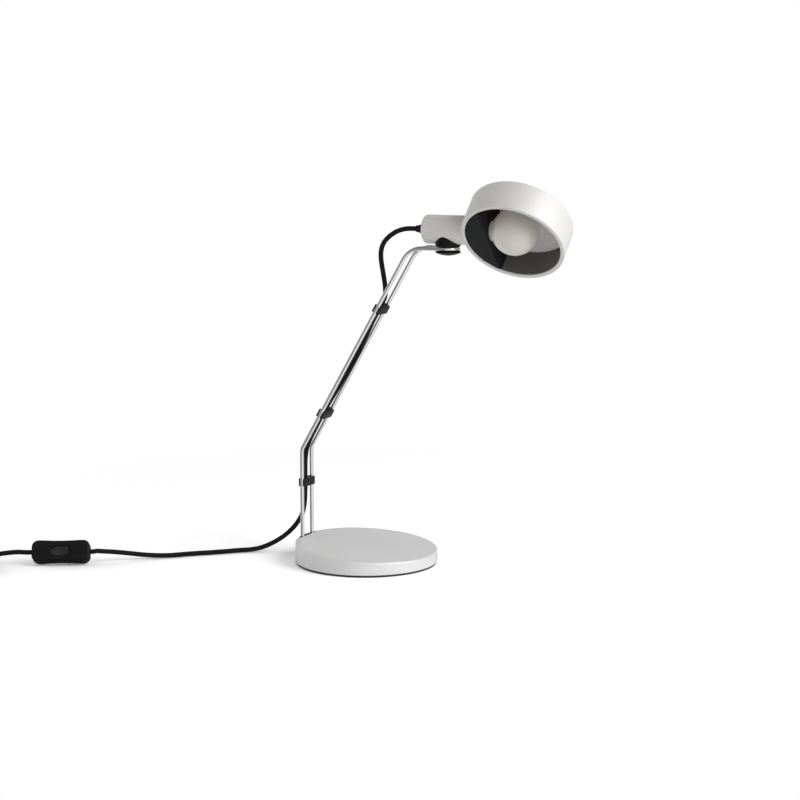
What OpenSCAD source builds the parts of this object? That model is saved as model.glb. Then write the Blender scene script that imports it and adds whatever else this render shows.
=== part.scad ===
// Desk lamp with a weighted disc base, a bent hairpin stem and a swivelling, tilting drum shade.
// Millimetres. The origin is the centre of the underside, +Z up, +X from the stem towards the head.

/* [Base] */
// Diameter of the weighted base
base_d = 160; // [140:1:200]
// Height of the base at its middle, foot pad included
base_h = 19.5; // [18:0.5:26]
// Slope of the top face in degrees, higher at the stem
top_slope = 3.4; // [1:0.1:4]
// Rounding of the top edge
base_edge_r = 1.7; // [1:0.1:3]
// Thickness of the foot pad
pad_h = 2.3; // [1.5:0.1:3]
// How far the foot pad lies inside the base's side
pad_inset = 1; // [0.5:0.1:3]
// Wall of the rear block left inside the legs
block_front = 0.4; // [0.2:0.1:3]
// Width of the black block let into the rear of the base
block_w = 38; // [34:0.5:60]
// How far the block's top lies under the base's top face
block_recess = 0.6; // [0.2:0.1:2]
// Thickness of the steel plate under the legs
plate_t = 3; // [2:0.5:4]
// Length of the plate along the base
plate_len = 34; // [28:1:44]
// Width of the plate across the base
plate_w = 52; // [44:1:64]

/* [Stem] */
// Diameter of the bent rod
rod_d = 4.5; // [4:0.1:5.5]
// Distance between the two legs, centre to centre
leg_gap = 22; // [20:0.5:28]
// Wall of the block left outside the legs
leg_wall = 0.7; // [0.5:0.1:2]
// Height of the corner of the lower bend
bend_z = 124; // [100:1:160]
// Lean of the arm from upright, in degrees
lean = 30.3; // [15:0.1:40]
// Length of the leaning arm, corner to corner
arm_len = 268; // [200:1:330]
// Length of the flat part, from the upper corner to the pivot
flat_len = 41; // [38:1:60]
// Centreline radius of the lower bend
low_bend_r = 14; // [8:1:20]
// Centreline radius of the upper bend
top_bend_r = 26; // [18:1:30]

/* [Clips] */
// Height of a clip along the legs
clip_h = 9; // [7:0.5:12]
// Depth of a clip, front to back
clip_t = 8.4; // [7.8:0.1:10]
// How far a clip's jaws reach past the middle of each leg
jaw_reach = 1.6; // [1:0.1:2]
// Places of the two clips on the arm, from the lower corner
clip_mid_at = 48; // [30:1:90]
clip_top_at = 188; // [120:1:188]
// Height of the clip on the upright part
clip_low_z = 85.5; // [60:1:95]

/* [Pivot] */
// Diameter of the saddle under the handle
saddle_d = 28; // [24:0.5:30]
// Web of the saddle under the handle
saddle_web = 1.5; // [1:0.1:4]
// Diameter of the clamping stud
stud_d = 6; // [5:0.5:8]
// Diameter of the hand knob
knob_d = 27.6; // [24:0.2:32]
// Height of the knob's straight edge
knob_edge = 1.3; // [1:0.1:4]
// Height of the knob's dome
knob_dome = 3.2; // [2:0.1:6]
// Thickness of each friction washer
washer_t = 0.8; // [0.5:0.1:1.5]
// Length of the clamp block inside the handle
clamp_len = 19; // [14:0.5:20]

/* [Handle] */
// Outer diameter of the handle tube
handle_d = 31.4; // [30:0.2:32]
// Wall of the handle tube
handle_wall = 1.8; // [1.2:0.1:2]
// Length of the handle behind the pivot
handle_back = 26.5; // [24:0.5:40]
// Rounding of the handle's closed end
handle_edge_r = 3; // [1:0.1:4]
// Tilt of the head to each side of how it stands, in degrees
tilt_span = 45; // [20:1:60]
// Tilt of the shade as it stands, in degrees
shade_tilt = 45; // [0:1:75]

/* [Shade] */
// Outer diameter of the shade
shade_d = 114; // [108:1:140]
// Height of the straight side
skirt_h = 36; // [34:1:44]
// Height of the shallow dome on the back
dome_h = 13; // [12:1:17]
// Wall of the shade
shade_wall = 1.6; // [1.2:0.1:2]
// Width of the turned-in lip
lip_w = 4.5; // [3.5:0.1:6]
// Thickness of the lip
lip_t = 2; // [1.5:0.1:3]
// Rounding of the rim
rim_edge_r = 0.8; // [0.3:0.1:1]
// From the handle's axis down to the lip
rim_drop = 16.2; // [16.2:0.1:18]
// From the pivot to the shade's side
handle_reach = 22.8; // [21:0.2:43]
// From the shade's middle back to the cover's flat wall
chord_back = 27.5; // [26.5:0.5:30]
// Wall of the black holder cover
cover_wall = 1.8; // [1.2:0.1:2.2]
// Thickness of the black side liner
liner_t = 0.9; // [0.6:0.1:1.5]

/* [Lamp] */
// Diameter of the opal globe
globe_d = 51.4; // [45:0.2:52]
// From the globe's centre to the tip of its cap
bulb_reach = 60; // [58:0.5:62]
// From the shade's middle back to the globe's centre
globe_back = 1.3; // [0:0.1:3]
// Diameter of the lampholder
holder_d = 24; // [23.6:0.2:24.6]
// Diameter of the bulb's screw cap
cap_d = 13.9; // [13.5:0.1:14]

/* [Cord] */
// Diameter of the textile cord
cord_d = 5.4; // [4:0.1:5.6]
// How far the cord runs behind the legs' plane
cord_back = 2; // [1.5:0.1:3]
// Sides of the cord's tube
cord_sides = 8; // [8:1:12]
// Turns in each layer of the coil
coil_turns = 2.75; // [1.75:1:3.75]
// Inner radius of the coil's centreline
coil_r = 24.5; // [20:0.5:30]
// Gap between neighbouring turns
coil_gap = 0.6; // [0.5:0.1:1]
// Thickness of the tie round the coil
tie_t = 0.8; // [0.6:0.1:1]
// Width of the tie
tie_w = 7; // [5:0.5:10]

/* [Switch] */
// Length of the in-line switch
switch_len = 64.6; // [60:0.2:70]
// Width of the switch
switch_w = 24.4; // [22:0.2:28]
// Thickness of the switch
switch_t = 17; // [16:0.5:20]
// Wall of the switch's shells
switch_wall = 1.8; // [1.4:0.1:2.2]
// Corner radius seen from the front
switch_corner_r = 6; // [4:0.5:8]
// Rounding of the long and short edges
switch_edge_r = 2.5; // [1:0.5:4]
// How deep the long sides are waisted
switch_waist = 1.2; // [0.5:0.1:2]
// Length and width of the rocker's opening
rocker_len = 21.6; // [18:0.2:26]
rocker_w = 10.8; // [8:0.2:12]
// Swing of the rocker from one side to the other, in degrees
rocker_swing = 14; // [8:1:16]

/* [Plug] */
// Width of the two-pin plug
plug_w = 35.3; // [33:0.1:37]
// Thickness of the plug
plug_t = 13.8; // [13:0.1:15]
// Length of the plug's body
plug_len = 36; // [32:1:42]
// Length of the plug's tapered cord sleeve
sleeve_len = 22; // [20:1:30]
// Diameter of a pin
pin_d = 4; // [3.8:0.1:4]
// Length of a pin
pin_len = 19; // [17:0.5:19]
// Distance between the pins
pin_gap = 18.6; // [17.5:0.1:19]

/* [Hidden] */

// clearances
slide = 0.1;          // pieces that slot together
fit = 0.1;            // pieces that turn on each other
turn_gap = 0.05;      // flat faces that turn against each other
gap = 0.3;            // pieces that only lie side by side
eps = 0.05;           // how far a cutting tool runs past a face
big = 400;            // larger than any piece

fn_big = 96;
fn_mid = 48;
fn_small = 24;

leg_y = leg_gap / 2;
rod_r = rod_d / 2;
handle_r = handle_d / 2;
handle_bore_r = handle_r - handle_wall;
shade_r = shade_d / 2;
base_r = base_d / 2;

// base
plate_pocket = 1.2;
plate_top = pad_h + plate_pocket + plate_t;
stem_x = -sqrt(pow(base_r - leg_wall - rod_r, 2) - pow(leg_y, 2));
chord_x = stem_x + rod_r + block_front;
tongue_w = 12;
tongue_len = 5;
plate_back = -(base_r - pad_inset - 1.5);
screw_d = 4;
screw_head_d = 7.6;
screw_head_h = 2.2;
screw_len = 11;
screw_inset = 8;
screw_places = [[plate_back + plate_len - screw_inset, 0],
    [chord_x + screw_inset, plate_w / 2 - screw_inset],
    [chord_x + screw_inset, -plate_w / 2 + screw_inset]];

// stem
low_cut = low_bend_r * tan(lean / 2);
top_cut = top_bend_r * tan((90 - lean) / 2);
along = [sin(lean), 0, cos(lean)];
across = [cos(lean), 0, -sin(lean)];
low_corner = [stem_x, 0, bend_z];
top_corner = low_corner + arm_len * along;
loop_z = top_corner.z;
bend_swell = 0.03;    // a bent rod is a hair thicker, and the straight pieces end inside its bends
bend_lap = 0.3;
pivot_x = top_corner.x + flat_len;

// pivot
loop_top = loop_z + rod_r;
loop_under = loop_z - rod_r;
washer_up_z = loop_top + turn_gap;
washer_low_z = loop_under - turn_gap - washer_t;
knob_top = washer_low_z - turn_gap;
saddle_z = washer_up_z + washer_t;
handle_z = saddle_z + saddle_web + handle_r;
bush_r = leg_y - rod_r - fit;
bush_h = rod_d - 2 * fit;
clamp_top = 4.4;      // from the handle's axis down to the clamp block's top
insert_r = 5;
insert_h = 3;
knob_bevel = 0.5;
slot_w = stud_d + 2 * gap;

// head, worked out in its own frame: X along the handle, the lamp's light towards -Z, origin at the pivot
back_x = -handle_back;
shade_reach = handle_reach + shade_r;
end_wall = 2.5;
gland_r = 5.3;
gland_neck_r = 4.9;
gland_tip_r = 3.5;
gland_len = 11.9;
gland_cone = 5.8;
spigot_r = 3.9;
gland_nut_h = 2.8;
gland_nut_r = 7;
lead_r = 1.1;
lead_y = 4;
lead_z = 7.8;
terminal_len = 3;
terminal_r = 1.6;
rim_z = -rim_drop;
edge_z = skirt_h - rim_drop;
dome_r = (pow(shade_r, 2) + pow(dome_h, 2)) / (2 * dome_h);
dome_z = edge_z + dome_h - dome_r;
shade_in_r = shade_r - shade_wall;
lip_in_r = shade_r - lip_w;
chord_wall_x = shade_reach - chord_back;
holder_r = holder_d / 2;
holder_room = 3;      // between the clamp block and the holder
holder_end = chord_wall_x + 0.3;
globe_r = globe_d / 2;
globe_x = shade_reach - globe_back;
bulb_tip_x = globe_x - bulb_reach;
tip_len = 2;
cap_len = 22.5;
cap_end = bulb_tip_x + tip_len + cap_len;
cap_r = cap_d / 2;
neck_r = 8.6;
neck_end_r = 11.8;
neck_end_x = globe_x - sqrt(pow(globe_r, 2) - pow(neck_end_r, 2));
glass_wall = 0.9;
holder_start = clamp_len / 2 + holder_room;
shell_wall = 0.4;
adaptor_len = 12;
adaptor_start = handle_reach - adaptor_len - 1;
partition_x = shade_reach - shade_in_r + 5;
nut_h = 4;
nut_r = rim_drop - cover_wall - 1.1;

// cord
flat_ref = [0, 0, 1];
cord_r = cord_d / 2;
cord_low = cord_r + 0.05;
gland_tip = [pivot_x + back_x - gland_len, 0, handle_z];
clip_mid = low_corner + clip_mid_at * along;
clip_top = low_corner + clip_top_at * along;
cord_shift = -cord_back * across;
clip_cord_r = cord_r + 0.25;
split = clip_top + cord_shift + (clip_h / 2 + 2) * along;
upper_route = [gland_tip, gland_tip - [4, 0, 0], [52, 0, 375.5], [46, 0, 374.6], [39.5, 0, 372.6],
    [33.5, 0, 369.5], [27.9, 0, 365.5], [23.1, 0, 360.5], [19.9, 0, 354.3], [18.6, 0, 347.4],
    [18.9, 0, 340.4], [20, 0, 333.4], [21.3, 0, 326.4], [22.6, 0, 319.4], [23.7, 0, 312.5],
    [24.1, 0, 306], [23.6, 0, 300.3], split + 3.5 * along, split];

// switch, leaning back on its lower edge
switch_yaw = 29.6;
switch_lean = 64;     // turn of the face up from flat on the table
switch_along = [cos(switch_yaw), sin(switch_yaw), 0];
switch_rise = (switch_w / 2 - switch_edge_r) * sin(switch_lean)
    + (switch_t / 2 - switch_edge_r) * cos(switch_lean) + switch_edge_r;
switch_place = [-299.4, -164.3, switch_rise];
seam_z = -0.8;
rocker_axis_z = 4.6;
rocker_gap = 0.5;
rocker_end_gap = 0.9;
rocker_rest = -rocker_swing / 2;
rocker_pin_d = 2;
switch_screw_d = 2.4;
switch_screw_head = 4.4;
switch_screw_sink = 1.5;
switch_screw_len = 13;
switch_post_d = 5.5;
waist_r = (pow(switch_len / 2 - switch_corner_r - 4, 2) + pow(switch_waist, 2)) / (2 * switch_waist);

// coil: in along the lower layer, up a layer in the half turn where it reverses, out along the upper one
coil_centre = [-388, -244];
coil_from = 101;
coil_pitch = cord_d + coil_gap;
coil_low = cord_r + tie_t + 0.3;
coil_steps = 24;
tie_at = 0.6;         // where the tie sits, as a part of a turn
coil_total = 2 * coil_turns + 0.5;
coil_out_r = coil_r + coil_pitch * coil_turns;
function smooth_step(f) = f * f * (3 - 2 * f);
function coil_radius(t) =
    t < coil_turns + 0.25 ? coil_out_r - coil_pitch * t
    : coil_r + coil_pitch * (t - coil_turns - 0.5);
function coil_lift(t) = smooth_step(min(max((t - coil_turns) * 2, 0), 1)) * coil_pitch;
function coil_point(t) = let(a = coil_from + 360 * t, r = coil_radius(t))
    [coil_centre.x + r * cos(a), coil_centre.y + r * sin(a), coil_low + coil_lift(t)];
coil_dir_in = [cos(coil_from + 90), sin(coil_from + 90), 0];
coil_turn_points = [for (i = [0:coil_total * coil_steps]) coil_point(i / coil_steps)];
coil_path = concat([coil_point(0) - coil_dir_in * cord_d], coil_turn_points,
    [coil_point(coil_total) + coil_dir_in * cord_d]);
coil_end = coil_path[len(coil_path) - 1];

// plug, lying flat beyond the coil
plug_heading = 197;
plug_along = [cos(plug_heading), sin(plug_heading), 0];
plug_z = plug_t / 2 + 0.05;
plug_start = [-433, -212.4, plug_z];
end_route = [coil_end, coil_end + coil_dir_in * 3, [-410, -206.5, 9.3], [-417, -208, 8.3],
    [-424, -209.8, 7.3], plug_start - plug_along * 3, plug_start];

// the stretches of the cord between clip, switch and coil
lead_route = [split, clip_top + cord_shift, [8.17, 0, 271.55], [-0.85, 0, 253.66], [-10, 0, 235.84],
    [-21.04, 0, 216.82], [-33.13, 0, 198.4], [-44.29, 0, 181.76], clip_mid + cord_shift,
    [-63.4, 0, 149.5], [-71.3, 0, 135], [-75.9, 0, 123.5], [-77.9, 0, 111.5], [-78.3, 0, 99],
    [stem_x - cord_back, 0, clip_low_z], [-78.6, 0, 73], [-79.4, 0, 61], [-81.8, 0, 49.5],
    [-87, -0.6, 39], [-93.8, -1.6, 30], [-101.5, -3, 22.5], [-110.5, -5.4, 15.5],
    [-120.5, -8.6, 9.6], [-130.5, -12.6, 5.2], [-140.5, -17.6, 3.1], [-151, -25.5, cord_low],
    [-161.5, -37, cord_low], [-173, -48.6, cord_low], [-185.5, -60, cord_low],
    [-196.5, -71, cord_low], [-207, -83, 2.9], [-219, -93.6, 3.6], [-231, -103.5, 5.3],
    [-242.5, -114.5, 8], [-252.4, -127, 11], [-261, -138.2, 13.2], [-266.8, -144.6, 14.2],
    switch_place + switch_along * (switch_len / 2 + 4), switch_place + switch_along * switch_len / 2];
tail_route = [switch_place - switch_along * switch_len / 2,
    switch_place - switch_along * (switch_len / 2 + 6), [-341.6, -187.9, 14.3], [-351, -191.5, 13.3],
    [-360.5, -194.8, 11.7], [-369, -197.2, 9.2], [-376.3, -198.9, 6.4], [-382.5, -200, 4.4],
    coil_path[0] - coil_dir_in * 3, coil_path[0]];

// ---------- helpers ----------

function unit(v) = v / norm(v);

function ring(centre, dir, ref, r, n) =
    let(u = unit(cross(ref, dir)), v = cross(dir, u))
    [for (i = [0:n - 1]) centre + r * (cos(360 * i / n) * u + sin(360 * i / n) * v)];

// the smooth curve through a route's points, with `steps` pieces between neighbours
function curve_point(a, b, c, d, f) =
    0.5 * (2 * b + (c - a) * f + (2 * a - 5 * b + 4 * c - d) * f * f + (3 * b - a - 3 * c + d) * f * f * f);

function route_length(p) = len(p) < 2 ? 0 : norm(p[1] - p[0])
    + route_length([for (i = [1:len(p) - 1]) p[i]]);

// a closed tube swept along a path, its end faces square to the path's first and last pieces
module tube(path, r, n, ref) {
    last = len(path) - 1;
    rings = [for (i = [0:last])
        ring(path[i], unit(path[min(i + 1, last)] - path[max(i - 1, 0)]), ref, r, n)];
    sides = [for (i = [0:last - 1], j = [0:n - 1])
        let(a = i * n + j, b = i * n + (j + 1) % n) each [[a, a + n, b], [b, a + n, b + n]]];
    low_cap = [for (j = [1:n - 2]) [0, j, j + 1]];
    high_cap = [for (j = [1:n - 2]) [last * n, last * n + j + 1, last * n + j]];
    polyhedron(points = [for (r_i = rings) each r_i], faces = concat(sides, low_cap, high_cap));
}

// an arc of round rod in the XZ plane, centred on the origin
module rod_arc(r, from_a, to_a) {
    rotate([90, 0, 0])
        rotate([0, 0, from_a])
            rotate_extrude(angle = to_a - from_a, $fn = fn_big)
                translate([r, 0])
                    circle(r = rod_r + bend_swell, $fn = fn_small);
}

// a rectangle with round corners, centred on the origin
module rounded_rect(size_x, size_y, r) {
    square([size_x - 2 * r, size_y], center = true);
    square([size_x, size_y - 2 * r], center = true);
    for (x = [-1, 1], y = [-1, 1])
        translate([x * (size_x / 2 - r), y * (size_y / 2 - r)])
            circle(r, $fn = fn_mid);
}

// a slot outline with round ends, centred on the origin
module slot_outline(length, width) {
    square([length - width, width], center = true);
    for (x = [-1, 1])
        translate([x * (length - width) / 2, 0])
            circle(d = width, $fn = fn_mid);
}

// a piece turned on a lathe, its axis along X
module turned_x(segments = fn_mid) {
    rotate([0, 90, 0])
        rotate_extrude($fn = segments)
            children();
}

module rod_x(from_x, to_x, r, segments = fn_mid) {
    translate([from_x, 0, 0])
        rotate([0, 90, 0])
            cylinder(r = r, h = to_x - from_x, $fn = segments);
}

// everything under the sloping top face, lowered by `drop`
module under_top(drop = 0) {
    translate([0, 0, base_h - drop])
        rotate([0, top_slope, 0])
            translate([-big / 2, -big / 2, -big])
                cube([big, big, big]);
}

// places a part of the head, worked out in the head's own frame
module in_head() {
    translate([pivot_x, 0, handle_z])
        rotate([-shade_tilt, 0, 0])
            children();
}

module in_switch() {
    translate(switch_place)
        rotate([0, 0, switch_yaw])
            rotate([switch_lean, 0, 0])
                children();
}

module on_arm(corner_distance) {
    translate(low_corner + corner_distance * along)
        rotate([0, lean, 0])
            children();
}

// ---------- base ----------

module leg_places() {
    for (y = [-leg_y, leg_y])
        translate([stem_x, y, 0])
            children();
}

// everything under the sloping top face and its rounded edge, which meets the side at an angle
module rounded_top() {
    r_out = base_r / cos(top_slope) + 0.12 * base_edge_r;
    translate([0, 0, base_h])
        rotate([0, top_slope, 0])
            rotate([0, 0, 40])
                rotate_extrude($fn = fn_big) {
                    translate([0, -base_d])
                        square([r_out - base_edge_r, base_d]);
                    translate([0, -base_d])
                        square([r_out, base_d - base_edge_r]);
                    translate([r_out - base_edge_r, -base_edge_r])
                        circle(base_edge_r, $fn = fn_mid);
                }
}

// the dovetail tongue that ties the block to the base
module tongue(extra) {
    translate([0, 0, plate_top - extra])
        linear_extrude(base_h - plate_top + extra)
            polygon([[chord_x - 1, -tongue_w / 2 + 2 - extra], [chord_x + tongue_len + extra, -tongue_w / 2 - extra],
                [chord_x + tongue_len + extra, tongue_w / 2 + extra], [chord_x - 1, tongue_w / 2 - 2 + extra]]);
}

module plate_outline(grow = 0) {
    intersection() {
        translate([plate_back - grow, -plate_w / 2 - grow])
            square([plate_len + 2 * grow, plate_w + 2 * grow]);
        circle(r = -plate_back + grow, $fn = fn_big);
    }
}

module base_weight() color("silver") difference() {
    intersection() {
        translate([0, 0, pad_h])
            cylinder(r = base_r, h = base_h + base_r * sin(top_slope), $fn = fn_big);
        rounded_top();
    }
    translate([chord_x - big, -block_w / 2, plate_top])
        cube([big, block_w, big]);
    tongue(slide);
    translate([0, 0, pad_h - eps])
        linear_extrude(plate_top - pad_h + eps)
            plate_outline(gap);
    for (p = screw_places)
        translate([p.x, p.y, pad_h])
            cylinder(d = screw_d + slide, h = plate_top - pad_h + screw_len - plate_t + 0.5, $fn = fn_small);
}

module foot_pad() color("#242424") {
    cylinder(r = base_r - pad_inset, h = pad_h, $fn = fn_big);
}

module stem_block() color("#2b2b2c") difference() {
    union() {
        intersection() {
            translate([0, 0, plate_top])
                cylinder(r = base_r - slide, h = base_h, $fn = fn_big);
            translate([chord_x - slide - big, -block_w / 2 + slide, plate_top])
                cube([big, block_w - 2 * slide, big]);
            under_top(block_recess);
        }
        intersection() {
            tongue(0);
            under_top(block_recess + 5);
        }
    }
    leg_places()
        cylinder(d = rod_d + slide, h = big, $fn = fn_small);
}

module foot_plate() color("#8d8f92") difference() {
    translate([0, 0, plate_top - plate_t])
        linear_extrude(plate_t)
            plate_outline();
    for (p = screw_places)
        translate([p.x, p.y, plate_top - plate_t]) {
            translate([0, 0, -eps])
                cylinder(d = screw_d + 2 * slide, h = plate_t + 1, $fn = fn_small);
            translate([0, 0, -eps])
                cylinder(d1 = screw_head_d + 2 * slide, d2 = screw_d + 2 * slide, h = screw_head_h, $fn = fn_small);
        }
}

module plate_screws() color("#5b5d60") {
    for (p = screw_places)
        translate([p.x, p.y, plate_top - plate_t]) {
            cylinder(d1 = screw_head_d, d2 = screw_d, h = screw_head_h, $fn = fn_small);
            cylinder(d = screw_d, h = screw_len, $fn = fn_small);
        }
}

// ---------- stem ----------

module leg() {
    foot_len = bend_z - low_cut - plate_top;
    translate([stem_x, 0, plate_top])
        cylinder(r = rod_r, h = foot_len + bend_lap, $fn = fn_small);
    translate([stem_x + low_bend_r, 0, bend_z - low_cut])
        rod_arc(low_bend_r, 180 - lean, 180);
    translate(low_corner + (low_cut - bend_lap) * along)
        rotate([0, lean, 0])
            cylinder(r = rod_r, h = arm_len - low_cut - top_cut + 2 * bend_lap, $fn = fn_small);
    translate([top_corner.x + top_cut, 0, loop_z - top_bend_r])
        rod_arc(top_bend_r, 90, 180 - lean);
    translate([top_corner.x, 0, loop_z])
        rod_x(top_cut - bend_lap, flat_len, rod_r, fn_small);
}

module hairpin_frame() color("#d9dadb") {
    for (y = [-leg_y, leg_y])
        translate([0, y, 0])
            leg();
    translate([pivot_x, 0, loop_z])
        rotate([0, 0, -90])
            rotate_extrude(angle = 180, $fn = fn_big)
                translate([leg_y, 0])
                    circle(r = rod_r, $fn = fn_small);
}

// a clip that snaps between the two legs and holds the cord behind them
module cord_clip() {
    half_y = leg_y + jaw_reach;
    bevel = 1.3;
    edge_r = 1.6;
    difference() {
        intersection() {
            translate([0, 0, -clip_h / 2])
                linear_extrude(clip_h)
                    polygon([[-clip_t / 2, -half_y + bevel], [-clip_t / 2 + bevel, -half_y],
                        [clip_t / 2 - bevel, -half_y], [clip_t / 2, -half_y + bevel],
                        [clip_t / 2, half_y - bevel], [clip_t / 2 - bevel, half_y],
                        [-clip_t / 2 + bevel, half_y], [-clip_t / 2, half_y - bevel]]);
            rotate([90, 0, 90])
                translate([0, 0, -clip_t])
                    linear_extrude(2 * clip_t)
                        rounded_rect(2 * half_y, clip_h, edge_r);
        }
        for (y = [-leg_y, leg_y])
            translate([0, y, -clip_h])
                cylinder(r = rod_r + slide / 2, h = 2 * clip_h, $fn = fn_small);
        translate([-cord_back, 0, -clip_h])
            cylinder(r = clip_cord_r, h = 2 * clip_h, $fn = fn_mid);
        // the mouth that the cord is pushed in through
        translate([-clip_t, -cord_r * 0.7, -clip_h])
            cube([clip_t - cord_back, cord_r * 1.4, 2 * clip_h]);
    }
}

module clip_upper() color("#2c2c2d") on_arm(clip_top_at) cord_clip();

module clip_middle() color("#2c2c2d") on_arm(clip_mid_at) cord_clip();

module clip_lower() color("#2c2c2d") translate([stem_x, 0, clip_low_z]) cord_clip();

// ---------- pivot ----------

module at_pivot(z) {
    translate([pivot_x, 0, z])
        children();
}

// fills the loop's end, so that the stud stays in its middle
module pivot_bush() color("#232323") at_pivot(loop_z - bush_h / 2) difference() {
    cylinder(r = bush_r, h = bush_h, $fn = fn_mid);
    translate([0, 0, -eps])
        cylinder(d = stud_d + 2 * fit, h = bush_h + 1, $fn = fn_small);
}

// the saddle, its top coped to the handle
module pivot_saddle() color("#222223") difference() {
    at_pivot(saddle_z)
        cylinder(d = saddle_d, h = saddle_web + handle_r, $fn = fn_big);
    translate([0, 0, handle_z])
        rod_x(pivot_x - saddle_d, pivot_x + saddle_d, handle_r + fit, fn_big);
    at_pivot(saddle_z - eps)
        cylinder(d = stud_d + 2 * fit, h = big, $fn = fn_small);
}

module clamp_block() color("#a9a9a5") difference() {
    intersection() {
        translate([0, 0, handle_z])
            rod_x(pivot_x - clamp_len / 2, pivot_x + clamp_len / 2, handle_bore_r - fit, fn_big);
        translate([pivot_x - big / 2, -big / 2, handle_z - clamp_top - big])
            cube([big, big, big]);
    }
    at_pivot(handle_z - handle_r)
        cylinder(d = stud_d, h = handle_r, $fn = fn_small);
}

module clamp_stud() color("#9fa2a5") {
    low = knob_top - insert_h;
    at_pivot(low)
        cylinder(d = stud_d, h = handle_z - clamp_top - low, $fn = fn_small);
}

module friction_washer() {
    difference() {
        cylinder(d = saddle_d - 2, h = washer_t, $fn = fn_big);
        translate([0, 0, -eps])
            cylinder(d = stud_d + 2 * fit, h = washer_t + 1, $fn = fn_small);
    }
}

module washer_upper() color("#1c1c1c") at_pivot(washer_up_z) friction_washer();

module washer_lower() color("#1c1c1c") at_pivot(washer_low_z) friction_washer();

// knob profile, from its flat upper face down to the crown of its dome
module knob_profile() {
    knob_r = knob_d / 2;
    crown_r = (pow(knob_r, 2) + pow(knob_dome, 2)) / (2 * knob_dome);
    intersection() {
        union() {
            translate([0, -knob_edge])
                square([knob_r - knob_bevel, knob_edge]);
            translate([0, -knob_edge - knob_dome])
                square([knob_r, knob_edge + knob_dome - knob_bevel]);
        }
        translate([0, -knob_edge - knob_dome + crown_r])
            circle(crown_r, $fn = 192);
    }
}

module clamp_knob() color("#262627") at_pivot(knob_top) difference() {
    rotate_extrude($fn = fn_big)
        knob_profile();
    translate([0, 0, -insert_h])
        cylinder(r = insert_r, h = insert_h + 1, $fn = fn_mid);
}

module knob_insert() color("#b08d4a") at_pivot(knob_top - insert_h) difference() {
    cylinder(r = insert_r, h = insert_h, $fn = fn_mid);
    translate([0, 0, -eps])
        cylinder(d = stud_d + 2 * turn_gap, h = insert_h + 1, $fn = fn_small);
}

// ---------- handle ----------

// the slot that lets the tube turn round the stud, hidden by the saddle as the lamp stands
module tilt_slot() {
    half_a = tilt_span;
    rotate([shade_tilt, 0, 0])
        rotate([0, 90, 0])
            rotate([0, 0, -half_a])
                translate([0, 0, -slot_w / 2])
                    rotate_extrude(angle = 2 * half_a, $fn = fn_big)
                        translate([handle_bore_r - 2, 0])
                            square([handle_wall + 4, slot_w]);
    for (a = [-half_a, half_a])
        rotate([shade_tilt + a, 0, 0])
            translate([0, 0, -handle_r - 2])
                cylinder(d = slot_w + 0.04, h = handle_wall + 4, $fn = fn_small);
}

module handle_tube() color("#c3c4c3") in_head() difference() {
    turned_x(fn_big)
        difference() {
            union() {
                translate([0, back_x])
                    square([handle_r - handle_edge_r, shade_reach - back_x]);
                translate([0, back_x + handle_edge_r])
                    square([handle_r, shade_reach - back_x - handle_edge_r]);
                translate([handle_r - handle_edge_r, back_x + handle_edge_r])
                    circle(handle_edge_r, $fn = fn_mid);
            }
            translate([-1, back_x + end_wall])
                square([handle_bore_r + 1, big]);
            translate([-1, back_x - 1])
                square([spigot_r + slide + 1, big]);
        }
    translate([shade_reach, 0, -big / 2])
        cylinder(r = shade_r, h = big, $fn = fn_big);
    translate([shade_reach, -big / 2, -big / 2])
        cube([big, big, big]);
    tilt_slot();
}

module cord_gland() color("#232324") in_head() turned_x() {
    polygon([[0, back_x - gland_len], [gland_tip_r, back_x - gland_len],
        [gland_neck_r, back_x - gland_len + gland_cone], [gland_r, back_x - gland_len + gland_cone + 0.4],
        [gland_r, back_x], [spigot_r, back_x],
        [spigot_r, back_x + end_wall + gland_nut_h + 1], [0, back_x + end_wall + gland_nut_h + 1]]);
}

module gland_nut() color("#b08d4a") in_head() difference() {
    translate([back_x + end_wall, 0, 0])
        rotate([0, 90, 0])
            cylinder(r = gland_nut_r, h = gland_nut_h, $fn = 6);
    rod_x(back_x, back_x + big, spigot_r + slide);
}

// the two conductors, opposite the slot so that they stay clear of the clamp block at every tilt
module holder_leads() color("#8a6a50") in_head() rotate([shade_tilt, 0, 0]) {
    lead_start = back_x + end_wall + gland_nut_h + 1;
    for (side = [-1, 1])
        tube([[lead_start, side * 1.6, 0], [lead_start + 1, side * 1.6, 0],
            [lead_start + 4, side * 2, 1.2], [lead_start + 8, side * 3.2, 4.6],
            [lead_start + 13, side * lead_y, lead_z], [holder_start - terminal_len - 4, side * lead_y, lead_z],
            [holder_start - terminal_len, side * lead_y, lead_z]], lead_r, 8, [0, 1, 0.2]);
}

// ---------- lampholder and bulb ----------

module holder_adaptor() color("#b9bab8") in_head() difference() {
    rod_x(adaptor_start, adaptor_start + adaptor_len, handle_bore_r - slide / 2, fn_big);
    rod_x(adaptor_start - 1, adaptor_start + adaptor_len + 1, holder_r + slide / 2, fn_mid);
}

module holder_body() color("#1d1d1e") in_head() turned_x() {
    bore_r = cap_r + shell_wall + 2 * slide;
    mouth_r = neck_r + (neck_end_r - neck_r) * (holder_end - cap_end) / (neck_end_x - cap_end) + gap;
    polygon([[0, holder_start], [holder_r, holder_start], [holder_r, holder_end], [mouth_r, holder_end],
        [neck_r + gap, cap_end - 0.5], [bore_r, cap_end - 0.5], [bore_r, bulb_tip_x - 2.5], [0, bulb_tip_x - 2.5]]);
}

module holder_terminals() color("#b08d4a") in_head() rotate([shade_tilt, 0, 0]) {
    for (side = [-1, 1])
        translate([0, side * lead_y, lead_z])
            rod_x(holder_start - terminal_len, holder_start, terminal_r, fn_small);
}

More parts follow.
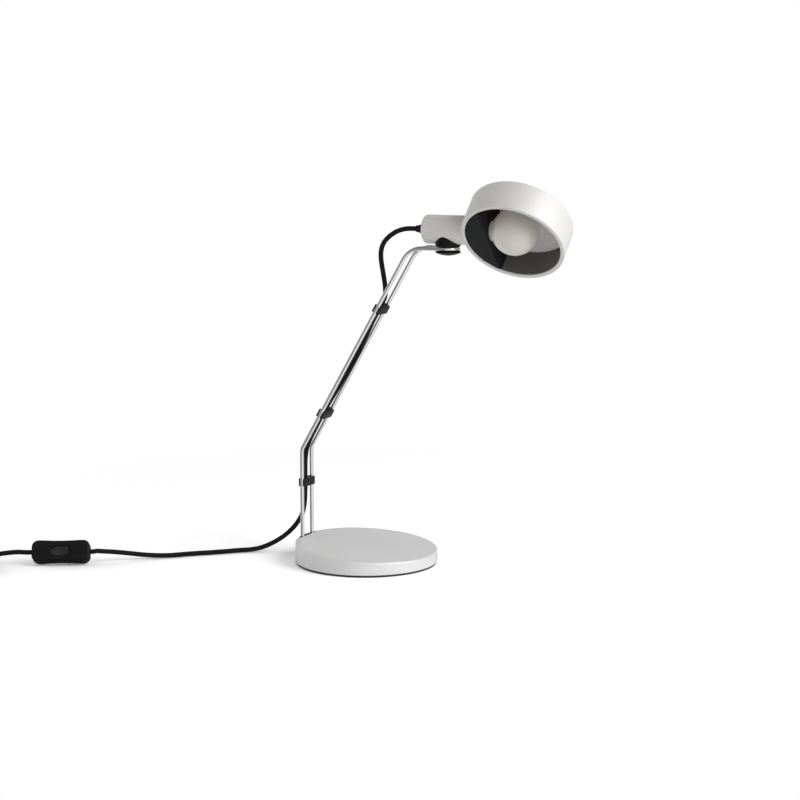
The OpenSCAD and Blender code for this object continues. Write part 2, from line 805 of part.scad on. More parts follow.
module thread_shell() color("#c9a35b") in_head() difference() {
    rod_x(bulb_tip_x - 1.5, cap_end - 1, cap_r + slide + shell_wall);
    rod_x(bulb_tip_x - 2, cap_end, cap_r + slide);
}

module holder_contact() color("#b08d4a") in_head() {
    rod_x(bulb_tip_x - 2.5, bulb_tip_x, 1.8, fn_small);
}

module holder_nut() color("#1d1d1e") in_head() difference() {
    rod_x(partition_x + cover_wall, partition_x + cover_wall + nut_h, nut_r, fn_mid);
    rod_x(partition_x, partition_x + cover_wall + nut_h + 1, holder_r + slide / 2, fn_mid);
}

module bulb_outline(shrink, from_x) {
    translate([0, globe_x])
        intersection() {
            circle(globe_r - shrink, $fn = 128);
            translate([0, -globe_r])
                square(2 * globe_r);
        }
    polygon([[0, from_x], [neck_r - shrink, from_x], [neck_r - shrink, cap_end + 2],
        [neck_end_r - shrink, neck_end_x], [neck_end_r - shrink, neck_end_x + 4], [0, neck_end_x + 4]]);
}

module bulb_glass() color("#ece9e2") in_head() turned_x(fn_big) difference() {
    bulb_outline(0, cap_end);
    bulb_outline(glass_wall, cap_end + glass_wall);
}

module bulb_cap() color("#c8c9ca") in_head() turned_x() difference() {
    translate([0, bulb_tip_x + tip_len])
        square([cap_r, cap_len]);
    translate([-1, bulb_tip_x + tip_len + 1])
        square([cap_r - 0.6 + 1, cap_len]);
}

module bulb_tip() color("#2a2a2a") in_head() turned_x() {
    polygon([[0, bulb_tip_x], [2.4, bulb_tip_x], [5, bulb_tip_x + tip_len], [0, bulb_tip_x + tip_len]]);
}

// ---------- shade ----------

// the space inside the shade's side and dome, grown or shrunk by `inset`
module shade_outline(inset, low_z) {
    intersection() {
        translate([0, dome_z])
            circle(dome_r - inset, $fn = 360);
        translate([0, low_z])
            square([shade_r - inset, big]);
    }
}

module at_shade() {
    in_head()
        translate([shade_reach, 0, 0])
            children();
}

module holder_hole(r, from_x, to_x) {
    rod_x(from_x, to_x, r);
}

// everything inside the rim's rounded outer and inner edges
module rim_limits() {
    translate([lip_in_r, rim_z + rim_edge_r])
        square([lip_w, big]);
    translate([lip_in_r + rim_edge_r, rim_z])
        square([lip_w - 2 * rim_edge_r, big]);
    for (r = [lip_in_r + rim_edge_r, shade_r - rim_edge_r])
        translate([r, rim_z + rim_edge_r])
            circle(rim_edge_r, $fn = fn_mid);
    translate([0, rim_z + lip_t])
        square([shade_r, big]);
}

module shade_shell() color("#c9cac8") at_shade() difference() {
    rotate_extrude($fn = fn_big)
        intersection() {
            union() {
                difference() {
                    shade_outline(0, rim_z);
                    shade_outline(shade_wall, rim_z - 1);
                }
                translate([lip_in_r, rim_z])
                    square([lip_w - shade_wall / 2, lip_t]);
            }
            rim_limits();
        }
    holder_hole(holder_r + slide, -shade_r - 2, -shade_r / 2);
}

// the part of a revolved outline that lies behind the cover's flat wall
module behind_chord(back) {
    intersection() {
        children();
        translate([-big - back, -big / 2, -big / 2])
            cube([big, big, big]);
    }
}

module holder_cover() color("#2d2e30") at_shade() difference() {
    face_z = rim_z + 0.5;
    shelf_z = rim_z + lip_t + gap;
    behind_chord(chord_back)
        rotate_extrude($fn = fn_big)
            intersection() {
                shade_outline(shade_wall + gap, face_z);
                union() {
                    translate([0, face_z])
                        square([lip_in_r - gap, big]);
                    translate([0, shelf_z])
                        square([shade_r, big]);
                }
            }
    difference() {
        behind_chord(chord_back + cover_wall)
            rotate_extrude($fn = fn_big)
                translate([0, face_z + cover_wall])
                    square([lip_in_r - gap - cover_wall, big]);
        translate([-big - (shade_reach - partition_x) + cover_wall, -big / 2, -big / 2])
            cube([big, big, big]);
    }
    holder_hole(holder_r + slide, -shade_r - 2, 0);
}

module side_liner() color("#303031") at_shade() difference() {
    rotate_extrude($fn = fn_big)
        difference() {
            intersection() {
                shade_outline(shade_wall + slide, rim_z + lip_t);
                translate([0, rim_z])
                    square([shade_r, edge_z - rim_z - 1]);
            }
            translate([0, rim_z - 1])
                square([shade_in_r - slide - liner_t, big]);
        }
    translate([-big - chord_back + gap, -big / 2, -big / 2])
        cube([big, big, big]);
}

// ---------- cord ----------

module cord_upper() color("#1b1b1b") tube(upper_route, cord_r, cord_sides, [0, 1, 0]);

module cord_lead() color("#1b1b1b") tube(lead_route, cord_r, cord_sides, [0, 1, 0]);

module cord_tail() color("#1b1b1b") tube(tail_route, cord_r, cord_sides, flat_ref);

module cord_coil() color("#1b1b1b") tube(coil_path, cord_r, 6, flat_ref);

module cord_end() color("#1b1b1b") tube(end_route, cord_r, cord_sides, flat_ref);

// a flat band round the coil's turns, on the side away from where the cord comes in
module coil_tie() color("#202020") {
    in_r = coil_radius(floor(coil_turns - tie_at) + tie_at) - cord_r - gap;
    out_r = coil_radius(coil_total - 1 + tie_at) + cord_r + gap;
    in_h = cord_d + coil_pitch + 2 * gap;
    translate([coil_centre.x, coil_centre.y, 0])
        rotate([0, 0, coil_from + 360 * tie_at])
            translate([(in_r + out_r) / 2, tie_w / 2, coil_low - cord_r - gap + in_h / 2])
                rotate([90, 0, 0])
                    linear_extrude(tie_w)
                        difference() {
                            rounded_rect(out_r - in_r + 2 * tie_t, in_h + 2 * tie_t, 2.4 + tie_t);
                            rounded_rect(out_r - in_r, in_h, 2.4);
                        }
}

// ---------- switch ----------

module switch_block() {
    intersection() {
        translate([0, 0, -switch_t / 2])
            linear_extrude(switch_t)
                difference() {
                    rounded_rect(switch_len, switch_w, switch_corner_r);
                    for (side = [-1, 1])
                        translate([0, side * (switch_w / 2 + waist_r - switch_waist)])
                            circle(waist_r, $fn = 360);
                }
        rotate([90, 0, 90])
            translate([0, 0, -switch_len])
                linear_extrude(2 * switch_len)
                    rounded_rect(switch_w, switch_t, switch_edge_r);
        rotate([90, 0, 0])
            translate([0, 0, -switch_w])
                linear_extrude(2 * switch_w)
                    rounded_rect(switch_len, switch_t, switch_edge_r);
    }
}

module switch_cavity() {
    translate([0, 0, -switch_t / 2 + switch_wall])
        linear_extrude(switch_t - 2 * switch_wall)
            rounded_rect(switch_len - 2 * switch_wall - 2, switch_w - 2 * switch_wall - 2 * switch_waist,
                switch_corner_r - switch_wall);
}

module rocker_pin_bar(d) {
    translate([0, 0, rocker_axis_z])
        rotate([90, 0, 0])
            translate([0, 0, -rocker_w / 2 - 1.6])
                cylinder(d = d, h = rocker_w + 3.2, $fn = fn_small);
}

// the shell's half above or below the seam
module switch_half(low_z, high_z) {
    intersection() {
        translate([-big / 2, -big / 2, low_z])
            cube([big, big, high_z - low_z]);
        children();
    }
}

module switch_upper() color("#2b2b2c") in_switch() difference() {
    union() {
        difference() {
            switch_half(seam_z, switch_t) switch_block();
            switch_cavity();
        }
        // cheeks that carry the rocker's pin
        for (side = [-1, 1])
            translate([-3, side * (rocker_w / 2 + 1.15) - 1.15, rocker_axis_z - 3])
                cube([6, 2.3, switch_t / 2 - rocker_axis_z + 2]);
        switch_screw_places()
            translate([0, 0, seam_z + switch_t / 2])
                cylinder(d = switch_post_d, h = switch_t / 2 - seam_z - switch_wall + eps, $fn = fn_small);
    }
    switch_screw_places()
        cylinder(d = switch_screw_d, h = switch_screw_len + 0.5, $fn = fn_small);
    translate([0, 0, rocker_axis_z - 3 - eps])
        linear_extrude(switch_t)
            slot_outline(rocker_len, rocker_w);
    rocker_pin_bar(rocker_pin_d);
}

module switch_lower() color("#272728") in_switch() difference() {
    union() {
        difference() {
            switch_half(-switch_t, seam_z) switch_block();
            switch_cavity();
        }
        switch_screw_places()
            translate([0, 0, switch_wall - eps])
                cylinder(d = switch_post_d, h = seam_z + switch_t / 2 - switch_wall + eps, $fn = fn_small);
    }
    switch_screw_places() {
        translate([0, 0, -eps])
            cylinder(d = switch_screw_head + 2 * slide, h = switch_screw_sink + slide + eps, $fn = fn_small);
        cylinder(d = switch_screw_d + 2 * slide, h = switch_t, $fn = fn_small);
    }
}

module switch_screw_places() {
    for (side = [-1, 1])
        translate([side * (switch_len / 2 - 9), side * 5.5, -switch_t / 2])
            children();
}

module switch_screws() color("#6a6c6f") in_switch() switch_screw_places() {
    cylinder(d = switch_screw_head, h = switch_screw_sink, $fn = fn_small);
    cylinder(d = switch_screw_d, h = switch_screw_len, $fn = fn_small);
}

module switch_rocker() color("#1f1f20") in_switch() difference() {
    foot_z = -3;
    translate([0, 0, rocker_axis_z])
        rotate([0, rocker_rest, 0])
            difference() {
                intersection() {
                    translate([0, 0, foot_z])
                        linear_extrude(12)
                            slot_outline(rocker_len - 2 * rocker_end_gap, rocker_w - 2 * rocker_gap);
                    // two sloping faces that meet in a soft valley
                    rotate([90, 0, 0])
                        translate([0, 0, -rocker_w])
                            linear_extrude(2 * rocker_w)
                                polygon([[-rocker_len, 5.4], [-7, 4.7], [-2.5, 3.6], [0, 3.3], [2.5, 3.6], [7, 4.7],
                                    [rocker_len, 5.4], [rocker_len, 0.6], [4, foot_z], [-4, foot_z], [-rocker_len, 0.6]]);
                }
                rotate([90, 0, 0])
                    translate([0, 0, -rocker_w])
                        cylinder(d = rocker_pin_d + 2 * fit, h = 2 * rocker_w, $fn = fn_small);
            }
}

module rocker_pin() color("#9fa2a5") in_switch() rocker_pin_bar(rocker_pin_d);

// two leaf contacts on the floor of the lower shell
module switch_contacts() color("#b08d4a") in_switch() {
    for (x = [-1, 1])
        translate([x * 14 - 5, -3, -switch_t / 2 + switch_wall])
            cube([10, 6, 3.2]);
}

// ---------- plug ----------

module in_plug() {
    translate(plug_start)
        rotate([0, 0, plug_heading])
            children();
}

module plug_slice(x, width, thick, r) {
    translate([x, 0, 0])
        rotate([90, 0, 90])
            linear_extrude(0.5)
                rounded_rect(width, thick, r);
}

module plug_body() color("#1e1e1f") in_plug() {
    neck = sleeve_len + 5;
    body_end = sleeve_len + plug_len;
    hull() {
        plug_slice(sleeve_len, 12, 10, 4);
        plug_slice(neck, plug_w * 0.72, plug_t - 1, 5);
    }
    hull() {
        plug_slice(neck, plug_w * 0.72, plug_t - 1, 5);
        plug_slice(body_end - 12, plug_w, plug_t, 6);
    }
    hull() {
        plug_slice(body_end - 12, plug_w, plug_t, 6);
        plug_slice(body_end - 0.5, plug_w - 2, plug_t - 1, 6);
    }
    turned_x(fn_small)
        polygon([[0, 0], [cord_r + 0.7, 0], [cord_r + 1.9, sleeve_len + 0.5], [0, sleeve_len + 0.5]]);
}

module plug_pins() color("#c6c7c9") in_plug() {
    for (side = [-1, 1])
        translate([0, side * pin_gap / 2, 0])
            rod_x(sleeve_len + plug_len, sleeve_len + plug_len + pin_len, pin_d / 2, fn_small);
}

// ---------- measures ----------

// the least distance between the coil's surface and itself, on the path's points
near_steps = coil_steps * 0.6;
coil_least = min([for (i = [0:len(coil_path) - 1]) for (j = [i + near_steps:1:len(coil_path) - 1])
    norm(coil_path[i] - coil_path[j])]) - cord_d;
echo(coil_least_gap = coil_least);
echo(cord_lengths = [for (p = [upper_route, lead_route, tail_route, coil_path, end_route]) route_length(p)]);
echo(pivot = [pivot_x, handle_z, loop_z], stem_x = stem_x, shade_centre_x = pivot_x + shade_reach);

base_weight();
foot_pad();
stem_block();
foot_plate();
plate_screws();
hairpin_frame();
clip_upper();
clip_middle();
clip_lower();
pivot_bush();
pivot_saddle();
clamp_stud();
clamp_block();
washer_upper();
washer_lower();
clamp_knob();
knob_insert();
handle_tube();
cord_gland();
gland_nut();
holder_leads();
holder_adaptor();
holder_body();
holder_terminals();
thread_shell();
holder_contact();
holder_nut();
shade_shell();
holder_cover();
side_liner();
bulb_glass();
bulb_cap();
bulb_tip();
cord_upper();
cord_lead();
cord_tail();
cord_coil();
cord_end();
coil_tie();
switch_lower();
switch_upper();
switch_rocker();
rocker_pin();
switch_contacts();
switch_screws();
plug_body();
plug_pins();
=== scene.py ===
import math
import bpy
from mathutils import Matrix, Vector


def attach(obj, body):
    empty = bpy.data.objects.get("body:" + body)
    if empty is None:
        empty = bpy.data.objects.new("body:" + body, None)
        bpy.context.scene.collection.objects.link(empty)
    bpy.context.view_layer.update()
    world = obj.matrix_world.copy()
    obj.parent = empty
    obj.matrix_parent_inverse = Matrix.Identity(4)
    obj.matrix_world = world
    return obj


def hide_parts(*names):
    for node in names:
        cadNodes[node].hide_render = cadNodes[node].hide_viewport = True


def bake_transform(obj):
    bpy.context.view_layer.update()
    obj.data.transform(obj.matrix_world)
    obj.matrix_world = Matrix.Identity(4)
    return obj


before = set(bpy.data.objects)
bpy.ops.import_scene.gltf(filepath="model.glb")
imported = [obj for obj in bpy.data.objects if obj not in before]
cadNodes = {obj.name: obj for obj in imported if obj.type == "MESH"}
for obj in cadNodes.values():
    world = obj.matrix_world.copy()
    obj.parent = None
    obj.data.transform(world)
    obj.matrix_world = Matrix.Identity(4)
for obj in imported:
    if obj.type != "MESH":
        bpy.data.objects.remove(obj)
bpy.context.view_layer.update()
mm = 0.001


# picking, cutting and finishing

def setMode(mode):
    bpy.ops.object.mode_set(mode=mode)


def pickOnly(*pieces):
    # the first piece becomes the active one
    bpy.ops.object.select_all(action="DESELECT")
    for piece in pieces:
        piece.select_set(True)
    bpy.context.view_layer.objects.active = pieces[0]


def pickPoints():
    # into edit mode with every point picked
    setMode("EDIT")
    bpy.ops.mesh.select_mode(type="VERT")
    bpy.ops.mesh.select_all(action="SELECT")


def sealMesh():
    # every normal outward, and out of edit mode
    bpy.ops.mesh.select_all(action="SELECT")
    bpy.ops.mesh.normals_make_consistent(inside=False)
    setMode("OBJECT")


def bevelEdges(piece, wanted, offset, segments):
    # rounds the edges for which wanted says yes to the list of their two ends
    pickOnly(piece)
    setMode("EDIT")
    bpy.ops.mesh.select_mode(type="EDGE")
    bpy.ops.mesh.select_all(action="DESELECT")
    setMode("OBJECT")
    for edge in piece.data.edges:
        edge.select = wanted([piece.data.vertices[i].co for i in edge.vertices])
    setMode("EDIT")
    bpy.ops.mesh.bevel(offset=offset * mm, segments=segments, profile=0.5, affect="EDGES", clamp_overlap=True)
    setMode("OBJECT")


def cutAway(piece, place, direction):
    # removes all that lies beyond a plane and closes the cut
    pickOnly(piece)
    pickPoints()
    bpy.ops.mesh.bisect(plane_co=[v * mm for v in place], plane_no=direction, use_fill=True, clear_outer=True)
    setMode("OBJECT")


def applyModifier(piece, kind, **settings):
    modifier = piece.modifiers.new(kind.lower(), kind)
    for name, value in settings.items():
        setattr(modifier, name, value)
    pickOnly(piece)
    bpy.ops.object.modifier_apply(modifier=modifier.name)


def joinShape(piece, tool, operation="DIFFERENCE"):
    applyModifier(piece, "BOOLEAN", operation=operation, solver="EXACT", object=tool)
    bpy.data.objects.remove(tool, do_unlink=True)


def softenEdges(piece, width, segments=2, degrees=35):
    applyModifier(piece, "BEVEL", width=width * mm, segments=segments, limit_method="ANGLE",
                  angle_limit=math.radians(degrees))


def placeAt(piece, matrix):
    piece.data.transform(matrix)
    piece.data.update()


def finishPiece(piece, name, body, look, *replaced, degrees=30, at=Matrix()):
    # moves the piece to its place; edges flatter than the degrees are shaded smooth
    placeAt(piece, at)
    piece.name = name
    piece.data.name = name
    pickOnly(piece)
    bpy.ops.object.shade_smooth_by_angle(angle=math.radians(degrees))
    piece.data.materials.clear()
    piece.data.materials.append(finish[look])
    if body:
        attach(piece, body)
    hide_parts(*replaced)
    return piece


def turnAbout(axis, degrees):
    return Matrix.Rotation(math.radians(degrees), 4, axis)


def shiftBy(x, y, z):
    return Matrix.Translation((x * mm, y * mm, z * mm))


def valuesOf(sizes, names):
    return [sizes[name] for name in names.split()]


# turned, flat and round starting shapes, all in millimetres

def softProfile(corners, pieces=5):
    # corners are (radius, height, fillet); each fillet becomes a few short steps
    points = []
    for i, corner in enumerate(corners):
        here = Vector(corner[:2])
        fillet = corner[2] if len(corner) > 2 else 0
        if fillet == 0 or i in (0, len(corners) - 1):
            points.append(here)
            continue
        back = Vector(corners[i - 1][:2]) - here
        on = Vector(corners[i + 1][:2]) - here
        half = back.angle(on) / 2
        reach = min(fillet / math.tan(half), back.length * 0.49, on.length * 0.49)
        centre = here + (back.normalized() + on.normalized()).normalized() * reach / math.cos(half)
        start = here + back.normalized() * reach - centre
        end = here + on.normalized() * reach - centre
        turn = -start.angle_signed(end)
        points += [centre + Matrix.Rotation(turn * k / pieces, 2) @ start for k in range(pieces + 1)]
    return points


def arcPoints(cx, cy, r, fromAngle, toAngle, count):
    angles = [math.radians(fromAngle + (toAngle - fromAngle) * i / count) for i in range(count + 1)]
    return [Vector((cx + r * math.cos(a), cy + r * math.sin(a))) for a in angles]


def turnPiece(profile, steps=128, closed=False):
    # a point is extruded along the profile in the XZ plane, and the line is spun about Z
    bpy.ops.mesh.primitive_plane_add(size=mm)
    piece = bpy.context.object
    pickPoints()
    bpy.ops.mesh.merge(type="CENTER")
    bpy.ops.transform.translate(value=(profile[0][0] * mm, 0, profile[0][1] * mm))
    run = list(profile) + ([profile[0]] if closed else [])
    for a, b in zip(run, run[1:]):
        bpy.ops.mesh.extrude_vertices_move(
            TRANSFORM_OT_translate={"value": ((b[0] - a[0]) * mm, 0, (b[1] - a[1]) * mm)})
    bpy.ops.mesh.select_all(action="SELECT")
    bpy.ops.mesh.spin(steps=steps, angle=2 * math.pi, center=(0, 0, 0), axis=(0, 0, 1))
    bpy.ops.mesh.select_all(action="SELECT")
    bpy.ops.mesh.remove_doubles(threshold=0.003 * mm)
    sealMesh()
    return piece


def outlinePiece(outline, low, high):
    # a flat outline raised to a block between two heights
    bpy.ops.mesh.primitive_circle_add(vertices=len(outline), radius=mm, fill_type="NGON")
    piece = bpy.context.object
    for vertex, point in zip(piece.data.vertices, outline):
        vertex.co = (point[0] * mm, point[1] * mm, low * mm)
    pickPoints()
    bpy.ops.mesh.extrude_region_move(TRANSFORM_OT_translate={"value": (0, 0, (high - low) * mm)})
    sealMesh()
    return piece


def roundTool(r, low, high, vertices, matrix=Matrix()):
    # a round rod between two heights
    bpy.ops.mesh.primitive_cylinder_add(vertices=vertices, radius=r * mm, depth=(high - low) * mm,
                                        location=(0, 0, (low + high) / 2 * mm))
    tool = bpy.context.object
    bpy.ops.object.transform_apply(location=True, rotation=True, scale=True)
    placeAt(tool, matrix)
    return tool


def drill(piece, r, low, high, vertices, matrix=Matrix()):
    joinShape(piece, roundTool(r, low, high, vertices, matrix))


def boxTool(low, high):
    bpy.ops.mesh.primitive_cube_add(size=1, location=[(a + b) / 2 * mm for a, b in zip(low, high)])
    tool = bpy.context.object
    tool.scale = [(b - a) * mm for a, b in zip(low, high)]
    bpy.ops.object.transform_apply(location=True, rotation=True, scale=True)
    return tool


def roundedOutline(length, width, r, count=8):
    x, y = length / 2 - r, width / 2 - r
    return (arcPoints(x, y, r, 0, 90, count) + arcPoints(-x, y, r, 90, 180, count)
            + arcPoints(-x, -y, r, 180, 270, count) + arcPoints(x, -y, r, 270, 360, count))


def stadium(length, width, count=16):
    x, r = (length - width) / 2, width / 2
    return arcPoints(x, 0, r, -90, 90, count) + arcPoints(-x, 0, r, 90, 270, count)


# the lamp's sizes in millimetres, the same as in the part's source but for the switch's corner, waist and rocker

stem = {"rod": 4.5, "legGap": 22, "wall": 0.7, "bendHeight": 124, "lean": 30.3, "arm": 268, "flat": 41,
        "lowBend": 14, "topBend": 26, "sides": 28}
base = {"radius": 80, "height": 19.5, "slope": 3.4, "edge": 1.7, "pad": 2.3, "padInset": 1, "plateTop": 6.5,
        "blockFront": 0.4, "blockWidth": 38, "blockRecess": 0.6, "steps": 180,
        "plateRadius": 77.8, "plateSwing": 19.76, "plateFront": -43.2, "plateHalf": 26.3,
        "screw": 2.05, "screwDepth": 8.5, "rearScrew": -51.5, "frontScrews": (8, 18)}
clip = {"height": 9, "depth": 8.4, "reach": 1.6, "bevel": 1.3, "corner": 1.6, "middle": 48, "top": 188,
        "low": 85.5}
pivot = {"play": 0.05, "washer": 0.8, "web": 1.5, "saddle": 28, "saddleTop": 17.2, "knob": 27.6,
         "knobEdge": 1.3, "knobDome": 3.2, "stud": 6, "bush": (3.1, 8.65, 2.15)}
handle = {"radius": 15.7, "wall": 1.8, "back": 26.5, "edge": 3, "endWall": 2.5, "spigot": 3.9, "span": 45,
          "slot": 6.6, "gland": 11.9, "glandCone": 5.8, "glandRadius": 5.3, "spigotLength": 6.3}
shade = {"radius": 57, "reach": 79.8, "rim": -16.2, "skirt": 36, "dome": 13, "wall": 1.6, "lip": 4.5,
         "lipThick": 2, "tilt": 45, "chord": 27.5, "holderRadius": 12, "coverWall": 1.8, "liner": 0.9}
bulb = {"radius": 25.7, "centre": 78.5, "neck": 8.6, "neckStart": 43, "coneEnd": 11.8, "wall": 0.9}
cord = {"diameter": 5.4, "sides": 18, "step": 2.2, "back": 2}
switch = {"length": 64.6, "width": 24.4, "thick": 17, "corner": 7.5, "edge": 2.5, "waist": 0.7, "wall": 1.8,
          "seam": -0.8, "opening": (21.6, 10.8), "axle": 4.6, "rest": -7, "yaw": 29.6, "lean": 64,
          "place": (-299.4, -164.3), "screw": (9, 5.5), "screwRadii": (2.75, 1.2, 1.3, 2.3)}
rockerShape = {"size": (20.4, 10.1), "foot": -3, "footHalf": 4, "end": 12, "endTop": 4.1, "endFoot": -0.4,
               "valley": 2.3, "swell": 0.65, "swellAt": 8, "tipSlope": 0.18, "hole": 1.1}
coil = {"centre": (-388, -244), "start": 101, "turns": 2.75, "inner": 24.5, "pitch": 6, "low": 3.8}
plug = {"heading": 197, "place": (-433, -212.4, 6.95), "sleeve": 22, "length": 36, "neck": (11, 10),
        "shoulder": (25.4, 12.8), "body": (35.3, 13.8), "pin": 4, "pinLength": 19, "pinGap": 18.6,
        "collar": 10}
legY = stem["legGap"] / 2
rodR = stem["rod"] / 2
stemX = -math.sqrt((base["radius"] - stem["wall"] - rodR) ** 2 - legY ** 2)
leanAngle = math.radians(stem["lean"])
alongArm = Vector((math.sin(leanAngle), 0, math.cos(leanAngle)))
acrossArm = Vector((math.cos(leanAngle), 0, -math.sin(leanAngle)))
lowCorner = Vector((stemX, 0, stem["bendHeight"]))
topCorner = lowCorner + alongArm * stem["arm"]
loopZ = topCorner.z
pivotX = topCorner.x + stem["flat"]
saddleZ = loopZ + rodR + pivot["play"] + pivot["washer"]
handleZ = saddleZ + pivot["web"] + handle["radius"]
knobTop = loopZ - rodR - 2 * pivot["play"] - pivot["washer"]
headPlace = shiftBy(pivotX, 0, handleZ) @ turnAbout("X", -shade["tilt"])
shadePlace = headPlace @ shiftBy(shade["reach"], 0, 0)
alongX = turnAbout("Y", 90)


# camera at the photograph's place

cameraSetup = {"place": (1.00735, -1.94212, 0.5092), "forward": (-0.44026, 0.88572, -0.14721), "lens": 89.43,
               "sensor": 36, "clipEnd": 20}


def makeCamera():
    bpy.ops.object.camera_add()
    camera = bpy.context.object
    camera.name = "photoCamera"
    camera.data.sensor_width = cameraSetup["sensor"]
    camera.data.lens = cameraSetup["lens"]
    camera.data.clip_end = cameraSetup["clipEnd"]
    forward = Vector(cameraSetup["forward"]).normalized()
    right = forward.cross(Vector((0, 0, 1))).normalized()
    turn = Matrix((right, right.cross(forward), -forward)).transposed()
    camera.matrix_world = Matrix.LocRotScale(Vector(cameraSetup["place"]), turn, None)
    bpy.context.scene.camera = camera


makeCamera()
print("camera placed")


# material helpers: inputs are given by name or number, as plain values or as other nodes' outputs

def feed(tree, node, inputs):
    for name, value in inputs.items():
        if isinstance(value, bpy.types.NodeSocket):
            tree.links.new(value, node.inputs[name])
        else:
            node.inputs[name].default_value = value


def addNode(tree, kind, inputs=None, **settings):
    node = tree.nodes.new("ShaderNode" + kind)
    for name, value in settings.items():
        setattr(node, name, value)
    feed(tree, node, inputs or {})
    return node


def newMaterial(name):
    material = bpy.data.materials.new(name)
    material.use_nodes = True
    tree = material.node_tree
    return material, tree, tree.nodes["Principled BSDF"], addNode(tree, "TexCoord").outputs["Object"]


def sums(tree, operation, *values):
    return addNode(tree, "Math", dict(enumerate(values)), operation=operation).outputs[0]


def grain(tree, coords, scale, detail, roughness=0.5):
    return addNode(tree, "TexNoise", {"Vector": coords, "Scale": scale, "Detail": detail,
                                      "Roughness": roughness}).outputs["Fac"]


def spread(tree, value, low, high, fromLow=0.3, fromHigh=0.7):
    return addNode(tree, "MapRange", {"Value": value, "From Min": fromLow, "From Max": fromHigh,
                                      "To Min": low, "To Max": high}).outputs["Result"]


def twoTones(tree, value, tones, fromLow=0.3, fromHigh=0.7):
    ramp = addNode(tree, "ValToRGB", {"Fac": value})
    for element, place, tone in zip(ramp.color_ramp.elements, (fromLow, fromHigh), tones):
        element.position = place
        element.color = (*tone, 1)
    return ramp.outputs["Color"]


def colourMix(tree, factor, first, second):
    return addNode(tree, "Mix", {0: factor, 6: first, 7: second}, data_type="RGBA").outputs[2]


def bump(tree, height, strength, distance):
    return addNode(tree, "Bump", {"Height": height, "Strength": strength,
                                  "Distance": distance}).outputs["Normal"]


def grainyFinish(name, tones, rough, grainScale, strength, metallic=0, specular=0.5):
    # cloudy colour, with fine grain in the bump and in the roughness
    material, tree, shader, coords = newMaterial(name)
    cloud = grain(tree, coords, 22, 3)
    fine = grain(tree, coords, grainScale, 3, 0.6)
    mixed = sums(tree, "MULTIPLY_ADD", cloud, 0.6, sums(tree, "MULTIPLY", fine, 0.4))
    feed(tree, shader, {
        "Base Color": twoTones(tree, mixed, tones, 0.38, 0.62),
        "Roughness": spread(tree, fine, *rough), "Metallic": metallic,
        "Specular IOR Level": specular, "Normal": bump(tree, fine, strength, 0.0002)})
    return material


def powderCoat(name, tones, rough, grainScale, strength, metallic, specks):
    # light grey paint: a leathery grain, slow clouds and a few paler specks
    material, tree, shader, coords = newMaterial(name)
    cloud = grain(tree, coords, 14, 3)
    fine = grain(tree, coords, grainScale, 3, 0.55)
    dots = addNode(tree, "TexVoronoi", {"Vector": coords, "Scale": grainScale * 0.8})
    body = twoTones(tree, sums(tree, "MULTIPLY_ADD", cloud, 0.7, sums(tree, "MULTIPLY", fine, 0.3)), tones)
    speck = spread(tree, dots.outputs["Distance"], specks, 0, 0.05, 0.22)
    feed(tree, shader, {
        "Base Color": colourMix(tree, speck, body, (0.82, 0.82, 0.81, 1)),
        "Roughness": spread(tree, fine, *rough), "Metallic": metallic,
        "Normal": bump(tree, fine, strength, 0.00015)})
    return material


chromeLook = {"tones": ((0.74, 0.74, 0.745), (0.80, 0.80, 0.805)), "rough": (0.04, 0.09), "haze": 45,
              "lines": 260, "stretch": 14, "bump": (0.01, 0.00002)}
# the opal globe's glow is a faint painted glow on the unlit bulb, standing in for light scattered inside it
opalLook = {"tones": ((0.41, 0.402, 0.378), (0.45, 0.442, 0.416)), "rough": (0.30, 0.38), "clouds": 26,
            "fine": 900, "paintedGlow": (1, 0.87, 0.73, 1), "paintedGlowStrength": 0.1, "coat": 0.15, "coatRough": 0.18,
            "bump": (0.05, 0.00005)}
braidLook = {"tones": ((0.0035, 0.0035, 0.0037), (0.015, 0.015, 0.0155)), "rough": (0.78, 0.92), "strands": 9,
             "pitch": 0.0021, "threads": 4, "fuzz": 2600, "specular": 0.1, "sheen": 0.03, "sheenRough": 0.45,
             "bump": (0.5, 0.00012)}
strapLook = {"tones": ((0.008, 0.008, 0.009), (0.03, 0.03, 0.032)), "rough": (0.8, 0.95), "ribs": 420,
             "fuzz": 1800, "sheen": 0.1, "bump": (0.4, 0.0002)}


def chromePlate():
    # bright plating over a drawn rod: almost even, with the faintest haze and fine lines round the rod
    material, tree, shader, coords = newMaterial("chromePlate")
    haze = grain(tree, coords, chromeLook["haze"], 3)
    drawn = addNode(tree, "Mapping", {"Vector": coords, "Scale": (1, 1, chromeLook["stretch"])})
    lines = grain(tree, drawn.outputs["Vector"], chromeLook["lines"], 2)
    feed(tree, shader, {
        "Base Color": twoTones(tree, haze, chromeLook["tones"]), "Metallic": 1,
        "Roughness": spread(tree, haze, *chromeLook["rough"]),
        "Normal": bump(tree, lines, *chromeLook["bump"])})
    return material


def opalGlass():
    # satin opal globe: warm white with slow clouds and a soft gloss; a faint warm painted glow stands in for the
    # light scattered round inside it, though the lamp is off
    material, tree, shader, coords = newMaterial("opalGlass")
    cloud = grain(tree, coords, opalLook["clouds"], 4)
    fine = grain(tree, coords, opalLook["fine"], 2)
    feed(tree, shader, {
        "Base Color": twoTones(tree, cloud, opalLook["tones"]),
        # painted glow: the unlit globe is made to shine a little
        "Emission Color": opalLook["paintedGlow"], "Emission Strength": opalLook["paintedGlowStrength"],
        "Roughness": spread(tree, fine, *opalLook["rough"]),
        "Coat Weight": opalLook["coat"], "Coat Roughness": opalLook["coatRough"],
        "Normal": bump(tree, fine, *opalLook["bump"])})
    return material


